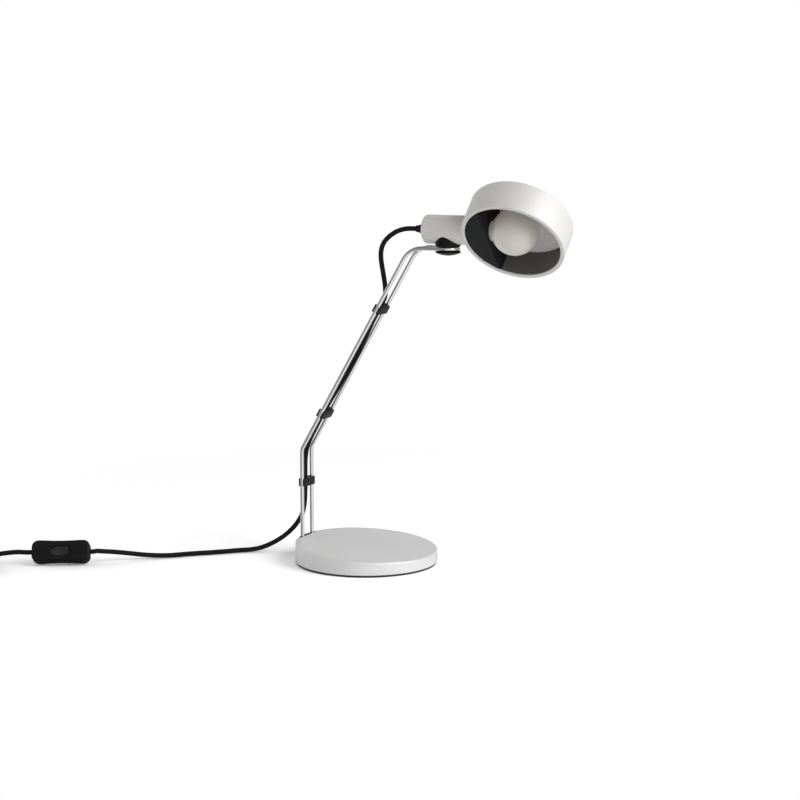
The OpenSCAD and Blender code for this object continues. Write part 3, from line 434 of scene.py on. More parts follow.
def braidedTextile():
    # black braid over the cord: strands cross both ways round the tube, one over the other
    material, tree, shader, coords = newMaterial("braidedTextile")
    uv = addNode(tree, "SeparateXYZ", {"Vector": addNode(tree, "TexCoord").outputs["UV"]})
    around = sums(tree, "MULTIPLY", uv.outputs["X"], 2 * math.pi * braidLook["strands"])
    onward = sums(tree, "MULTIPLY", uv.outputs["Y"], 2 * math.pi / braidLook["pitch"])
    both = sums(tree, "ADD", around, onward)
    across = sums(tree, "SUBTRACT", around, onward)
    weave = sums(tree, "MULTIPLY", sums(tree, "SINE", both), sums(tree, "SINE", across))
    threads = sums(tree, "SINE", sums(tree, "MULTIPLY", both, braidLook["threads"]))
    height = sums(tree, "MULTIPLY_ADD", threads, 0.16, weave)
    fuzz = grain(tree, coords, braidLook["fuzz"], 3, 0.7)
    # painted shade: the colour darkens in the dips between the strands, where the weave's bump is low
    dipShade = sums(tree, "MULTIPLY", sums(tree, "ADD", weave, 1), 0.25)
    tone = sums(tree, "MULTIPLY_ADD", fuzz, 0.5, dipShade)
    feed(tree, shader, {
        "Base Color": twoTones(tree, tone, braidLook["tones"], 0.25, 0.75),
        "Roughness": spread(tree, fuzz, *braidLook["rough"]),
        "Specular IOR Level": braidLook["specular"], "Sheen Weight": braidLook["sheen"],
        "Sheen Roughness": braidLook["sheenRough"],
        "Normal": bump(tree, height, *braidLook["bump"])})
    return material


def wovenStrap():
    # fine ribs one way, fuzz over them
    material, tree, shader, coords = newMaterial("wovenStrap")
    ribs = addNode(tree, "TexWave", {"Vector": coords, "Scale": strapLook["ribs"], "Distortion": 0.6,
                                     "Detail": 1}, bands_direction="DIAGONAL").outputs["Fac"]
    fuzz = grain(tree, coords, strapLook["fuzz"], 3, 0.7)
    tone = sums(tree, "MULTIPLY_ADD", ribs, 0.5, sums(tree, "MULTIPLY", fuzz, 0.5))
    feed(tree, shader, {
        "Base Color": twoTones(tree, tone, strapLook["tones"]),
        "Roughness": spread(tree, fuzz, *strapLook["rough"]), "Sheen Weight": strapLook["sheen"],
        "Normal": bump(tree, ribs, *strapLook["bump"])})
    return material


# dark and light tone, roughness, scale and strength of the grain, metallic, pale specks
paintLooks = {
    "basePaint": (((0.635, 0.629, 0.627), (0.665, 0.659, 0.657)), (0.40, 0.50), 1500, 0.22, 0.22, 0.10),
    "shadePaint": (((0.535, 0.526, 0.508), (0.565, 0.556, 0.537)), (0.48, 0.56), 2100, 0.14, 0.14, 0.04),
    "insidePaint": (((0.78, 0.768, 0.755), (0.81, 0.80, 0.787)), (0.45, 0.55), 1800, 0.12, 0, 0.03),
}
# dark and light tone, roughness, scale and strength of the grain, metallic, specular
grainyLooks = {
    "clipPlastic": (((0.0085, 0.0085, 0.0088), (0.0135, 0.0135, 0.014)), (0.42, 0.55), 1700, 0.12, 0, 0.16),
    "pivotPlastic": (((0.005, 0.005, 0.0052), (0.009, 0.009, 0.0093)), (0.38, 0.5), 1700, 0.1, 0, 0.12),
    "switchPlastic": (((0.0055, 0.0055, 0.0058), (0.009, 0.009, 0.0093)), (0.42, 0.55), 1300, 0.16, 0, 0.15),
    "rockerPlastic": (((0.008, 0.008, 0.0085), (0.012, 0.012, 0.0125)), (0.12, 0.18), 1300, 0.03, 0, 0.7),
    "coverBlack": (((0.0095, 0.0103, 0.0118), (0.013, 0.0143, 0.016)), (0.55, 0.68), 1100, 0.12, 0, 0.15),
    "linerBlack": (((0.095, 0.091, 0.081), (0.125, 0.119, 0.108)), (0.5, 0.62), 1000, 0.14, 0, 0.35),
    "padRubber": (((0.016, 0.016, 0.016), (0.03, 0.03, 0.03)), (0.72, 0.88), 900, 0.3),
    "plugRubber": (((0.009, 0.009, 0.0095), (0.015, 0.015, 0.0155)), (0.5, 0.62), 1000, 0.18),
    "leadSleeve": (((0.24, 0.12, 0.05), (0.34, 0.18, 0.08)), (0.35, 0.5), 900, 0.1),
    "socketPlastic": (((0.012, 0.012, 0.012), (0.02, 0.02, 0.02)), (0.3, 0.42), 900, 0.08),
    "zincSteel": (((0.42, 0.43, 0.44), (0.56, 0.57, 0.58)), (0.28, 0.42), 500, 0.1, 1),
    "castAluminium": (((0.58, 0.58, 0.57), (0.7, 0.7, 0.69)), (0.34, 0.48), 600, 0.12, 1),
    "turnedBrass": (((0.55, 0.38, 0.14), (0.68, 0.49, 0.2)), (0.22, 0.36), 420, 0.06, 1),
    "nickelPlate": (((0.56, 0.54, 0.50), (0.68, 0.66, 0.61)), (0.12, 0.2), 500, 0.04, 1),
}
finish = {name: powderCoat(name, *look) for name, look in paintLooks.items()}
finish.update({name: grainyFinish(name, *look) for name, look in grainyLooks.items()})
finish.update(chrome=chromePlate(), opal=opalGlass(), braid=braidedTextile(), strap=wovenStrap())
print("materials made:", len(finish))


# cords: one smooth curve through each route, swept as a tube with its braid laid out along it

cordR = cord["diameter"] / 2
cordLow = cordR + 0.05
clipMiddle = lowCorner + alongArm * clip["middle"]
clipTop = lowCorner + alongArm * clip["top"]
cordShift = -acrossArm * cord["back"]
split = clipTop + cordShift + alongArm * (clip["height"] / 2 + 2)
glandTip = Vector((pivotX - handle["back"] - handle["gland"], 0, handleZ))
switchLean = math.radians(switch["lean"])
switchRise = ((switch["width"] / 2 - switch["edge"]) * math.sin(switchLean)
              + (switch["thick"] / 2 - switch["edge"]) * math.cos(switchLean) + switch["edge"])
switchAt = Vector((*switch["place"], switchRise))
switchAlong = turnAbout("Z", switch["yaw"]) @ Vector((1, 0, 0))
switchPlace = shiftBy(*switchAt) @ turnAbout("Z", switch["yaw"]) @ turnAbout("X", switch["lean"])
switchReach = switch["length"] / 2
plugAlong = turnAbout("Z", plug["heading"]) @ Vector((1, 0, 0))
plugAt = Vector(plug["place"])
plugPlace = shiftBy(*plugAt) @ turnAbout("Z", plug["heading"])


def coilPoint(t):
    # winds inward, crosses over itself and winds outward again one cord higher
    turns, pitch = coil["turns"], coil["pitch"]
    r = coil["inner"] + pitch * (turns - t if t < turns + 0.25 else t - turns - 0.5)
    rise = min(max((t - turns) * 2, 0), 1)
    a = math.radians(coil["start"] + 360 * t)
    return Vector((coil["centre"][0] + r * math.cos(a), coil["centre"][1] + r * math.sin(a),
                   coil["low"] + rise * rise * (3 - 2 * rise) * pitch))


coilTurns = 2 * coil["turns"] + 0.5
coilDirection = turnAbout("Z", coil["start"] + 90) @ Vector((1, 0, 0))
coilRoute = ([coilPoint(0) - coilDirection * cord["diameter"]]
             + [coilPoint(i / 24) for i in range(int(coilTurns * 24) + 1)]
             + [coilPoint(coilTurns) + coilDirection * cord["diameter"]])
upperRoute = [glandTip, glandTip - Vector((4, 0, 0))] + [(x, 0, z) for x, z in (
    (52, 375.5), (46, 374.6), (39.5, 372.6), (33.5, 369.5), (27.9, 365.5), (23.1, 360.5), (19.9, 354.3),
    (18.6, 347.4), (18.9, 340.4), (20, 333.4), (21.3, 326.4), (22.6, 319.4), (23.7, 312.5), (24.1, 306),
    (23.6, 300.3))] + [split + alongArm * 3.5, split]
leadRoute = [
    split, clipTop + cordShift, (8.17, 0, 271.55), (-0.85, 0, 253.66), (-10, 0, 235.84), (-21.04, 0, 216.82),
    (-33.13, 0, 198.4), (-44.29, 0, 181.76), clipMiddle + cordShift, (-63.4, 0, 149.5), (-71.3, 0, 135),
    (-75.9, 0, 123.5), (-77.9, 0, 111.5), (-78.3, 0, 99), (stemX - cord["back"], 0, clip["low"]),
    (-78.6, 0, 73), (-79.4, 0, 61), (-81.8, 0, 49.5), (-87, -0.6, 39), (-93.8, -1.6, 30), (-101.5, -3, 22.5),
    (-110.5, -5.4, 15.5), (-120.5, -8.6, 9.6), (-130.5, -12.6, 5.2), (-140.5, -17.6, 3.1),
    (-151, -25.5, cordLow), (-161.5, -37, cordLow), (-173, -48.6, cordLow), (-185.5, -60, cordLow),
    (-196.5, -71, cordLow), (-207, -83, 2.9), (-219, -93.6, 3.6), (-231, -103.5, 5.3), (-242.5, -114.5, 8),
    (-252.4, -127, 11), (-261, -138.2, 13.2), (-266.8, -144.6, 14.2),
    switchAt + switchAlong * (switchReach + 4), switchAt + switchAlong * switchReach]
tailRoute = [
    switchAt - switchAlong * switchReach, switchAt - switchAlong * (switchReach + 6),
    (-341.6, -187.9, 14.3), (-351, -191.5, 13.3), (-360.5, -194.8, 11.7), (-369, -197.2, 9.2),
    (-376.3, -198.9, 6.4), (-382.5, -200, 4.4), coilRoute[0] - coilDirection * 3] + coilRoute + [
    coilRoute[-1] + coilDirection * 3, (-410, -206.5, 9.3), (-417, -208, 8.3), (-424, -209.8, 7.3),
    plugAt - plugAlong * 3, plugAt]


def smoothPath(route, step):
    # a curve through every point of the route, cut into short pieces of about one length
    points = [Vector(p) for p in route]
    smooth = []
    for i in range(len(points) - 1):
        b, c = points[i], points[i + 1]
        a = points[i - 1] if i > 0 else b + (b - c)
        d = points[i + 2] if i + 2 < len(points) else c + (c - b)
        pieces = max(1, round((c - b).length / step))
        ab, bc, cd = (max((q - p).length, 0.001) ** 0.5 for p, q in ((a, b), (b, c), (c, d)))
        leave = ((b - a) / ab - (c - a) / (ab + bc) + (c - b) / bc) * bc
        arrive = ((c - b) / bc - (d - b) / (bc + cd) + (d - c) / cd) * bc
        for k in range(pieces):
            f = k / pieces
            smooth.append(b * (2 * f ** 3 - 3 * f ** 2 + 1) + leave * (f ** 3 - 2 * f ** 2 + f)
                          + c * (3 * f ** 2 - 2 * f ** 3) + arrive * (f ** 3 - f ** 2))
    smooth.append(points[-1])
    return smooth


def sweepTube(name, path, radius, sides):
    # rings turned as little as possible from one to the next; the map runs once round and in metres along
    last = len(path) - 1
    directions = [(path[min(i + 1, last)] - path[max(i - 1, 0)]).normalized() for i in range(last + 1)]
    side = directions[0].cross(Vector((0, 0, 1)) if abs(directions[0].z) < 0.9 else Vector((0, 1, 0))).normalized()
    vertices, travelled, walked = [], [], 0
    for i, centre in enumerate(path):
        if i:
            side = directions[i - 1].rotation_difference(directions[i]) @ side
            side = (side - directions[i] * side.dot(directions[i])).normalized()
            walked += (centre - path[i - 1]).length
        travelled.append(walked * mm)
        up = directions[i].cross(side)
        for k in range(sides):
            a = 2 * math.pi * k / sides
            vertices.append((centre + (side * math.cos(a) + up * math.sin(a)) * radius) * mm)
    faces, corners = [], []
    for i in range(last):
        for k in range(sides):
            n = (k + 1) % sides
            faces.append((i * sides + k, i * sides + n, (i + 1) * sides + n, (i + 1) * sides + k))
            corners += [(k / sides, travelled[i]), ((k + 1) / sides, travelled[i]),
                        ((k + 1) / sides, travelled[i + 1]), (k / sides, travelled[i + 1])]
    faces += [tuple(reversed(range(sides))), tuple(last * sides + k for k in range(sides))]
    corners += [(0.5, travelled[0])] * sides + [(0.5, travelled[last])] * sides
    mesh = bpy.data.meshes.new(name)
    mesh.from_pydata(vertices, [], faces)
    layer = mesh.uv_layers.new(name="braidMap")
    for loop, corner in zip(layer.data, corners):
        loop.uv = corner
    piece = bpy.data.objects.new(name, mesh)
    bpy.context.scene.collection.objects.link(piece)
    return piece


def pathLength(path):
    return sum((b - a).length for a, b in zip(path, path[1:])) * mm


def makeCord(name, route, stretch, body, *nodes):
    path = smoothPath(route, cord["step"] * stretch)
    piece = sweepTube(name, path, cordR, cord["sides"])
    return path, finishPiece(piece, name, body, "braid", *nodes, degrees=80)


upperPath, cordLoop = makeCord("cordLoop", upperRoute, 1, None, "cord_upper")
leadPath, cordLead = makeCord("cordLead", leadRoute, 1.2, "stand", "cord_lead")
tailPath, cordTail = makeCord("cordTail", tailRoute, 1.2, "stand", "cord_tail", "cord_coil", "cord_end")
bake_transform(cordLoop)
print("cord lengths", [round(pathLength(path), 4) for path in (upperPath, leadPath, tailPath)])


# base: weighted disc with a sloping top, foot pad and the black block at the rear

slopeRise = math.tan(math.radians(base["slope"]))
chordX = stemX + rodR + base["blockFront"]


def slantTop(piece, above):
    # the top leans up towards the stem
    for vertex in piece.data.vertices:
        if vertex.co.z > above * mm:
            vertex.co.z -= vertex.co.x * slopeRise
    piece.data.update()


def tongueShape(rear, front, narrow, wide, low, high):
    # the tongue in front of the block, which widens into the base
    return outlinePiece([(chordX - rear, -narrow), (chordX + front, -wide), (chordX + front, wide),
                         (chordX - rear, narrow)], low, high)


def makeBase():
    pad, floor, top, half = base["pad"], base["plateTop"], base["height"], base["blockWidth"] / 2
    body = turnPiece(softProfile([(0, pad), (base["radius"], pad, 0.4), (base["radius"], top, base["edge"]),
                                  (0, top)], 7), base["steps"])
    slantTop(body, top - base["edge"] - 0.5)
    joinShape(body, boxTool((-120, -half, floor), (chordX, half, 60)))
    joinShape(body, tongueShape(1, 5.1, 4.1, 6.1, floor - 0.1, top))
    plate = arcPoints(0, 0, base["plateRadius"], 180 - base["plateSwing"], 180 + base["plateSwing"], 24)
    plate += [Vector((base["plateFront"], -base["plateHalf"])), Vector((base["plateFront"], base["plateHalf"]))]
    joinShape(body, outlinePiece(plate, pad - 0.5, floor))
    ahead, aside = base["frontScrews"]
    for x, y in ((base["rearScrew"], 0), (chordX + ahead, aside), (chordX + ahead, -aside)):
        drill(body, base["screw"], pad, floor + base["screwDepth"], 24, shiftBy(x, y, 0))
    finishPiece(body, "baseBody", "stand", "basePaint", "base_weight")
    r = base["radius"] - base["padInset"]
    # the pad stands on two rings, 0.35 mm proud of the rest
    padPiece = turnPiece(softProfile([(0, 0.35), (52, 0.35), (52.4, 0), (60, 0), (60.4, 0.35), (66, 0.35),
                                      (66.4, 0), (r, 0, 0.4), (r, pad, 0.2), (0, pad)], 3), base["steps"])
    finishPiece(padPiece, "footPad", "stand", "padRubber", "foot_pad")
    r = base["radius"] - 0.1
    half -= 0.1
    swing = math.degrees(math.asin(half / r))
    block = outlinePiece(arcPoints(0, 0, r, 180 - swing, 180 + swing, 20)
                         + [Vector((chordX - 0.1, -half)), Vector((chordX - 0.1, half))], floor, top)
    slantTop(block, floor + 1)
    for vertex in block.data.vertices:
        if vertex.co.z > (floor + 1.5) * mm:
            vertex.co.z -= base["blockRecess"] * mm
    softenEdges(block, 0.5, 3)
    joinShape(block, tongueShape(2, 5, 3.7, 6, floor, top - 1.5), "UNION")
    for y in (-legY, legY):
        drill(block, rodR + 0.05, floor - 1, 60, 32, shiftBy(stemX, y, 0))
    finishPiece(block, "stemBlock", "stand", "pivotPlastic", "stem_block")


makeBase()
print("base made")


# stem: one rod bent into a hairpin, swept along its whole path

def stemPath():
    lowCut = stem["lowBend"] * math.tan(leanAngle / 2)
    topCut = stem["topBend"] * math.tan((math.pi / 2 - leanAngle) / 2)
    leg = [(stemX, base["plateTop"]), (stemX, 40), (stemX, 80)]
    leg += arcPoints(stemX + stem["lowBend"], stem["bendHeight"] - lowCut, stem["lowBend"], 180,
                     180 - stem["lean"], 12)
    leg += [(lowCorner + alongArm * d).xz for d in (60, 120, 180)]
    leg += arcPoints(topCorner.x + topCut, loopZ - stem["topBend"], stem["topBend"], 180 - stem["lean"], 90, 22)
    leg.append((pivotX - 8, loopZ))
    near, far = ([Vector((x, y, z)) for x, z in leg] for y in (-legY, legY))
    loop = [Vector((x, y, loopZ)) for x, y in arcPoints(pivotX, 0, legY, -90, 90, 40)]
    return near + loop + far[::-1]


hairpin = sweepTube("hairpinRod", stemPath(), rodR, stem["sides"])
finishPiece(hairpin, "hairpinRod", "stand", "chrome", "hairpin_frame", degrees=80)


def makeClip():
    half = legY + clip["reach"]
    d, b, rise = clip["depth"] / 2, clip["bevel"], clip["height"] / 2
    piece = outlinePiece([(-d, -half + b), (-d + b, -half), (d - b, -half), (d, -half + b),
                          (d, half - b), (d - b, half), (-d + b, half), (-d, half - b)], -rise, rise)
    limits = outlinePiece(roundedOutline(2 * half, clip["height"], clip["corner"]), -10, 10)
    placeAt(limits, Matrix(((0, 0, 1, 0), (1, 0, 0, 0), (0, 1, 0, 0), (0, 0, 0, 1))))
    joinShape(piece, limits, "INTERSECT")
    softenEdges(piece, 0.45, 3, 25)
    for y in (-legY, legY):
        drill(piece, rodR + 0.05, -12, 12, 32, shiftBy(0, y, 0))
    drill(piece, cordR + 0.25, -12, 12, 40, shiftBy(-cord["back"], 0, 0))
    mouth = cordR * 0.7
    joinShape(piece, boxTool((-12, -mouth, -12), (-cord["back"], mouth, 12)))
    return piece


def makeClips():
    leaning = turnAbout("Y", stem["lean"])
    places = {"clipUpper": ("clip_upper", shiftBy(*clipTop) @ leaning),
              "clipMiddle": ("clip_middle", shiftBy(*clipMiddle) @ leaning),
              "clipLower": ("clip_lower", shiftBy(stemX, 0, clip["low"]))}
    for name, (node, matrix) in places.items():
        piece = makeClip()
        placeAt(piece, matrix)
        finishPiece(piece, name, "stand", "clipPlastic", node, degrees=28)


makeClips()
print("stem and clips made")


# pivot: bush, saddle and hand knob

def makePivot():
    hole, wide, rise = pivot["bush"]
    bush = turnPiece(softProfile([(hole, -rise), (wide, -rise, 0.3), (wide, rise, 0.3), (hole, rise)], 3), 64,
                     closed=True)
    finishPiece(bush, "pivotBush", "stand", "pivotPlastic", "pivot_bush", at=shiftBy(pivotX, 0, loopZ))
    r, top = pivot["saddle"] / 2, pivot["saddleTop"]
    saddle = turnPiece(softProfile([(0, 0), (r, 0, 0.7), (r, top, 0.2), (0, top)], 4))
    placeAt(saddle, shiftBy(pivotX, 0, saddleZ))
    drill(saddle, handle["radius"] + 0.1, -40, 40, 160, shiftBy(pivotX, 0, handleZ) @ alongX)
    drill(saddle, pivot["stud"] / 2 + 0.1, -5, 30, 40, shiftBy(pivotX, 0, saddleZ))
    softenEdges(saddle, 0.25, 2, 40)
    finishPiece(saddle, "pivotSaddle", "swivel", "pivotPlastic", "pivot_saddle")
    r, dome, edge = pivot["knob"] / 2, pivot["knobDome"], pivot["knobEdge"]
    crown = (r * r + dome * dome) / (2 * dome)
    under = [Vector((crown * math.sin(a), crown - edge - dome - crown * math.cos(a)))
             for a in (math.asin((r - 0.35) / crown) * (1 - k / 12) for k in range(13))]
    under[-1].x = 0
    knob = turnPiece(softProfile([(0, -3), (5, -3), (5, 0, 0.3), (r, 0, 0.5), (r, -edge + 0.2)], 4)
                     + [Vector((r - 0.06, -edge - 0.05))] + under)
    finishPiece(knob, "clampKnob", "knob", "pivotPlastic", "clamp_knob", at=shiftBy(pivotX, 0, knobTop))


makePivot()
print("pivot made")


# handle: a tube with a closed, rounded end, a slot round it for the stud, coped to the shade

def makeHandle():
    r, wall, back, edge, span, spigot = valuesOf(handle, "radius wall back edge span spigot")
    reach = shade["reach"]
    hole, inside, slotHalf = spigot + 0.1, handle["endWall"] - back, handle["slot"] / 2
    tube = turnPiece(softProfile([(hole, -back), (r, -back, edge), (r, reach), (r - wall, reach),
                                  (r - wall, inside, 0.6), (hole, inside)], 8), closed=True)
    placeAt(tube, alongX)
    drill(tube, shade["radius"], -60, 60, 240, shiftBy(reach, 0, 0))
    joinShape(tube, boxTool((reach, -60, -60), (reach + 80, 60, 60)))
    band = outlinePiece(arcPoints(0, 0, r + 3, -span, span, 60) + arcPoints(0, 0, r - wall - 2, span, -span, 60),
                        -slotHalf, slotHalf)
    placeAt(band, turnAbout("X", shade["tilt"]) @ alongX)
    joinShape(tube, band)
    for angle in (-span, span):
        drill(tube, slotHalf + 0.02, -r - 2, -r + wall + 2, 40, turnAbout("X", shade["tilt"] + angle))
    softenEdges(tube, 0.25, 2, 50)
    finishPiece(tube, "handleTube", "head", "shadePaint", "handle_tube", at=headPlace)
    tip, widest = -back - handle["gland"], handle["glandRadius"]
    neck, end, groove = tip + handle["glandCone"], handle["spigotLength"] - back, widest - 0.3
    gland = turnPiece(softProfile([(0, tip), (3.5, tip, 0.5), (3.85, tip + 1.9, 0.2), (3.7, tip + 2.2, 0.1),
                                   (4.3, tip + 3.8, 0.2), (4.15, tip + 4.1, 0.1), (4.7, neck - 0.2, 0.1),
                                   (widest, neck + 0.3, 0.3), (widest, -back - 2.4, 0.1), (groove, -back - 2.2, 0.1),
                                   (groove, -back - 1.8, 0.1), (widest, -back - 1.6, 0.1), (widest, -back),
                                   (spigot, -back), (spigot, end), (0, end)], 3), 48)
    finishPiece(gland, "cordGland", "head", "pivotPlastic", "cord_gland", at=headPlace @ alongX)


makeHandle()
print("handle made")


# shade: a spun drum with a domed back and a turned-in lip, black cover and side liner inside

edgeZ = shade["skirt"] + shade["rim"]
domeR = (shade["radius"] ** 2 + shade["dome"] ** 2) / (2 * shade["dome"])
domeZ = edgeZ + shade["dome"] - domeR


def domeLine(inset, outerRadius):
    # from the middle of the dome out to its edge
    r = domeR - inset
    return arcPoints(0, domeZ, r, 90, 90 - math.degrees(math.asin(outerRadius / r)), 24)


def makeShade():
    r, rim, wall, chord, thick = valuesOf(shade, "radius rim wall chord coverWall")
    lipIn, lipTop, inR, hole = r - shade["lip"], rim + shade["lipThick"], r - wall, shade["holderRadius"] + 0.1
    outer, inner = domeLine(0, r), domeLine(wall, inR)[::-1]
    rounded = softProfile([outer[-2], (*outer[-1], 1.6), (r, rim, 0.9), (lipIn, rim, 0.9), (lipIn, lipTop, 0.5),
                           (inR, lipTop, 0.3), (*inner[0], 0.8), inner[1]], 5)
    shell = turnPiece(outer[:-2] + rounded + inner[2:], 224)
    drill(shell, hole, -r - 2, -r / 2, 64, alongX)
    finishPiece(shell, "shadeShell", "head", "shadePaint", "shade_shell", at=shadePlace)
    shell.data.materials.append(finish["insidePaint"])
    toShade = shadePlace.inverted()
    for face in shell.data.polygons:
        place, normal = toShade @ face.center, toShade.to_3x3() @ face.normal
        inward = place.xy.dot(normal.xy) < 0 or normal.z < -0.1
        if inward and place.z > (lipTop + 0.2) * mm and place.xy.length < (r - wall / 2) * mm:
            face.material_index = 1

    faceZ, shelfZ, inset = rim + 0.5, lipTop + 0.3, lipIn - 0.3
    back = domeLine(wall + 0.3, inR - 0.3)[::-1]
    cover = turnPiece(softProfile([(0, faceZ), (inset, faceZ, 0.4), (inset, shelfZ), (back[0].x, shelfZ),
                                   back[0]], 4) + back[1:], 160)
    cutAway(cover, (-chord, 0, 0), (1, 0, 0))
    softenEdges(cover, 0.35, 3, 50)
    room = inset - thick
    front, rear = (math.degrees(math.acos(x / room)) for x in (-chord - thick, 5 + thick - inR))
    joinShape(cover, outlinePiece(arcPoints(0, 0, room, front, rear, 12)
                                  + arcPoints(0, 0, room, 360 - rear, 360 - front, 12), faceZ + thick, 60))
    drill(cover, hole, -r - 2, 0, 64, alongX)
    finishPiece(cover, "holderCover", "head", "coverBlack", "holder_cover", at=shadePlace)

    out, top = inR - 0.1, edgeZ - 1
    thin = out - shade["liner"]
    liner = turnPiece(softProfile([(thin, lipTop), (out, lipTop), (out, top, 0.2), (thin, top, 0.2)], 2), 200,
                      closed=True)
    cutAway(liner, (-chord + 0.3, 0, 0), (-1, 0, 0))
    finishPiece(liner, "sideLiner", "head", "linerBlack", "side_liner", at=shadePlace)


makeShade()
print("shade made")


# bulb: opal globe with a cone and neck, hollow inside

def makeBulb():
    r, c, neck, start, cone = valuesOf(bulb, "radius centre neck neckStart coneEnd")
    a = math.degrees(math.asin(cone / r)) - 90
    outside = softProfile([(0, start), (neck, start, 0.6), (neck, start + 2.5, 1.5),
                           (cone - 0.2, c - math.sqrt(r * r - cone ** 2) - 0.4)], 5)
    globe, inside = arcPoints(0, c, r, a, 90, 48), arcPoints(0, c, r - bulb["wall"], 90, a, 32)
    globe[-1].x = inside[0].x = 0
    thin, low = neck - bulb["wall"], start + bulb["wall"]
    glass = turnPiece(outside + globe)
    joinShape(glass, turnPiece(inside + [Vector((thin, start + 2.6)), Vector((thin, low)), Vector((0, low))], 96))
    finishPiece(glass, "bulbGlass", "head", "opal", "bulb_glass", degrees=40, at=headPlace @ alongX)


makeBulb()
print("bulb made")


# in-line switch: two waisted shells, a round-ended opening and a rocker with a soft valley

def switchOutline():
    corner, waist, depth = switch["corner"], switch["waist"], switch["width"] / 2
    flat = switchReach - corner - 4
    waistR = (flat ** 2 + waist ** 2) / (2 * waist)
    side = math.degrees(math.asin(flat / waistR))
    out = depth + waistR - waist
    corners = roundedOutline(switch["length"], switch["width"], corner)
    return (corners[:9] + arcPoints(0, out, waistR, 270 + side, 270 - side, 16) + corners[9:27]
            + arcPoints(0, -out, waistR, 90 + side, 90 - side, 16) + corners[27:-1])


def switchHalf(above):
    half, wall, seam = switch["thick"] / 2, switch["wall"], switch["seam"]
    block = outlinePiece(switchOutline(), -half, half)
    for height in (half, -half):
        bevelEdges(block, lambda ends: all(abs(co.z - height * mm) < 0.01 * mm for co in ends), switch["edge"], 6)
    cutAway(block, (0, 0, seam), (0, 0, -1 if above else 1))
    softenEdges(block, 0.22, 2, 60)
    inside = roundedOutline(switch["length"] - 2 * wall - 2, switch["width"] - 2 * wall - 2 * switch["waist"],
                            switch["corner"] - wall, 6)
    joinShape(block, outlinePiece(inside, *((seam - 1, half - wall) if above else (wall - half, seam + 1))))
    return block


def makeSwitch():
    wall, seam, axle, half = valuesOf(switch, "wall seam axle thick")
    half /= 2
    inward, aside = switch["screw"]
    post, pilot, clear, head = switch["screwRadii"]
    screws = [shiftBy(side * (switchReach - inward), side * aside, 0) for side in (1, -1)]
    length, width = switch["opening"]
    upper = switchHalf(True)
    for side in (-1, 1):
        middle = side * (width / 2 + 1.15)
        joinShape(upper, boxTool((-3, middle - 1.15, axle - 3), (3, middle + 1.15, half - wall + 0.6)), "UNION")
    for place in screws:
        joinShape(upper, roundTool(post, seam, half - wall + 0.5, 24, place), "UNION")
        drill(upper, pilot, -half, 13.5 - half, 24, place)
    joinShape(upper, outlinePiece(stadium(length, width), axle - 3.1, half + 3))
    drill(upper, 1, -width / 2 - 1.6, width / 2 + 1.6, 24, shiftBy(0, 0, axle) @ turnAbout("X", 90))
    bevelEdges(upper, lambda ends: all(abs(co.z - half * mm) < 0.02 * mm and abs(co.x) < 12 * mm
                                       and abs(co.y) < 6 * mm for co in ends), 0.55, 4)
    finishPiece(upper, "switchUpper", "stand", "switchPlastic", "switch_upper", degrees=28, at=switchPlace)
    lower = switchHalf(False)
    for place in screws:
        joinShape(lower, roundTool(post, wall - half - 0.5, seam, 24, place), "UNION")
        drill(lower, head, -half - 1, 1.6 - half, 32, place)
        drill(lower, clear, -half, half, 24, place)
    finishPiece(lower, "switchLower", "stand", "switchPlastic", "switch_lower", degrees=28, at=switchPlace)


def makeRocker():
    foot, footHalf, end, endTop, endFoot, swellAt = valuesOf(rockerShape, "foot footHalf end endTop endFoot swellAt")
    rocker = outlinePiece(stadium(*rockerShape["size"], 20), foot, 9)
    valley = []
    for x in (10, *range(8, -9, -1), -10):
        swell = rockerShape["swell"] * (1 - math.cos(math.pi * min(abs(x) / swellAt, 1))) / 2
        valley.append((x, rockerShape["valley"] + swell + rockerShape["tipSlope"] * max(abs(x) - swellAt, 0)))
    side = outlinePiece([(end, endTop)] + valley + [(-end, endTop), (-end, endFoot), (-footHalf, foot),
                                                    (footHalf, foot), (end, endFoot)], -20, 20)
    placeAt(side, turnAbout("X", 90))
    joinShape(rocker, side, "INTERSECT")
    drill(rocker, rockerShape["hole"], -20, 20, 24, turnAbout("X", 90))
    softenEdges(rocker, 1, 4, 50)
    finishPiece(rocker, "switchRocker", "rocker", "rockerPlastic", "switch_rocker",
                at=switchPlace @ shiftBy(0, 0, switch["axle"]) @ turnAbout("Y", switch["rest"]))


makeSwitch()
makeRocker()
print("switch made")


# plug: tapered body with finger ridges, ribbed sleeve, two pins with black collars

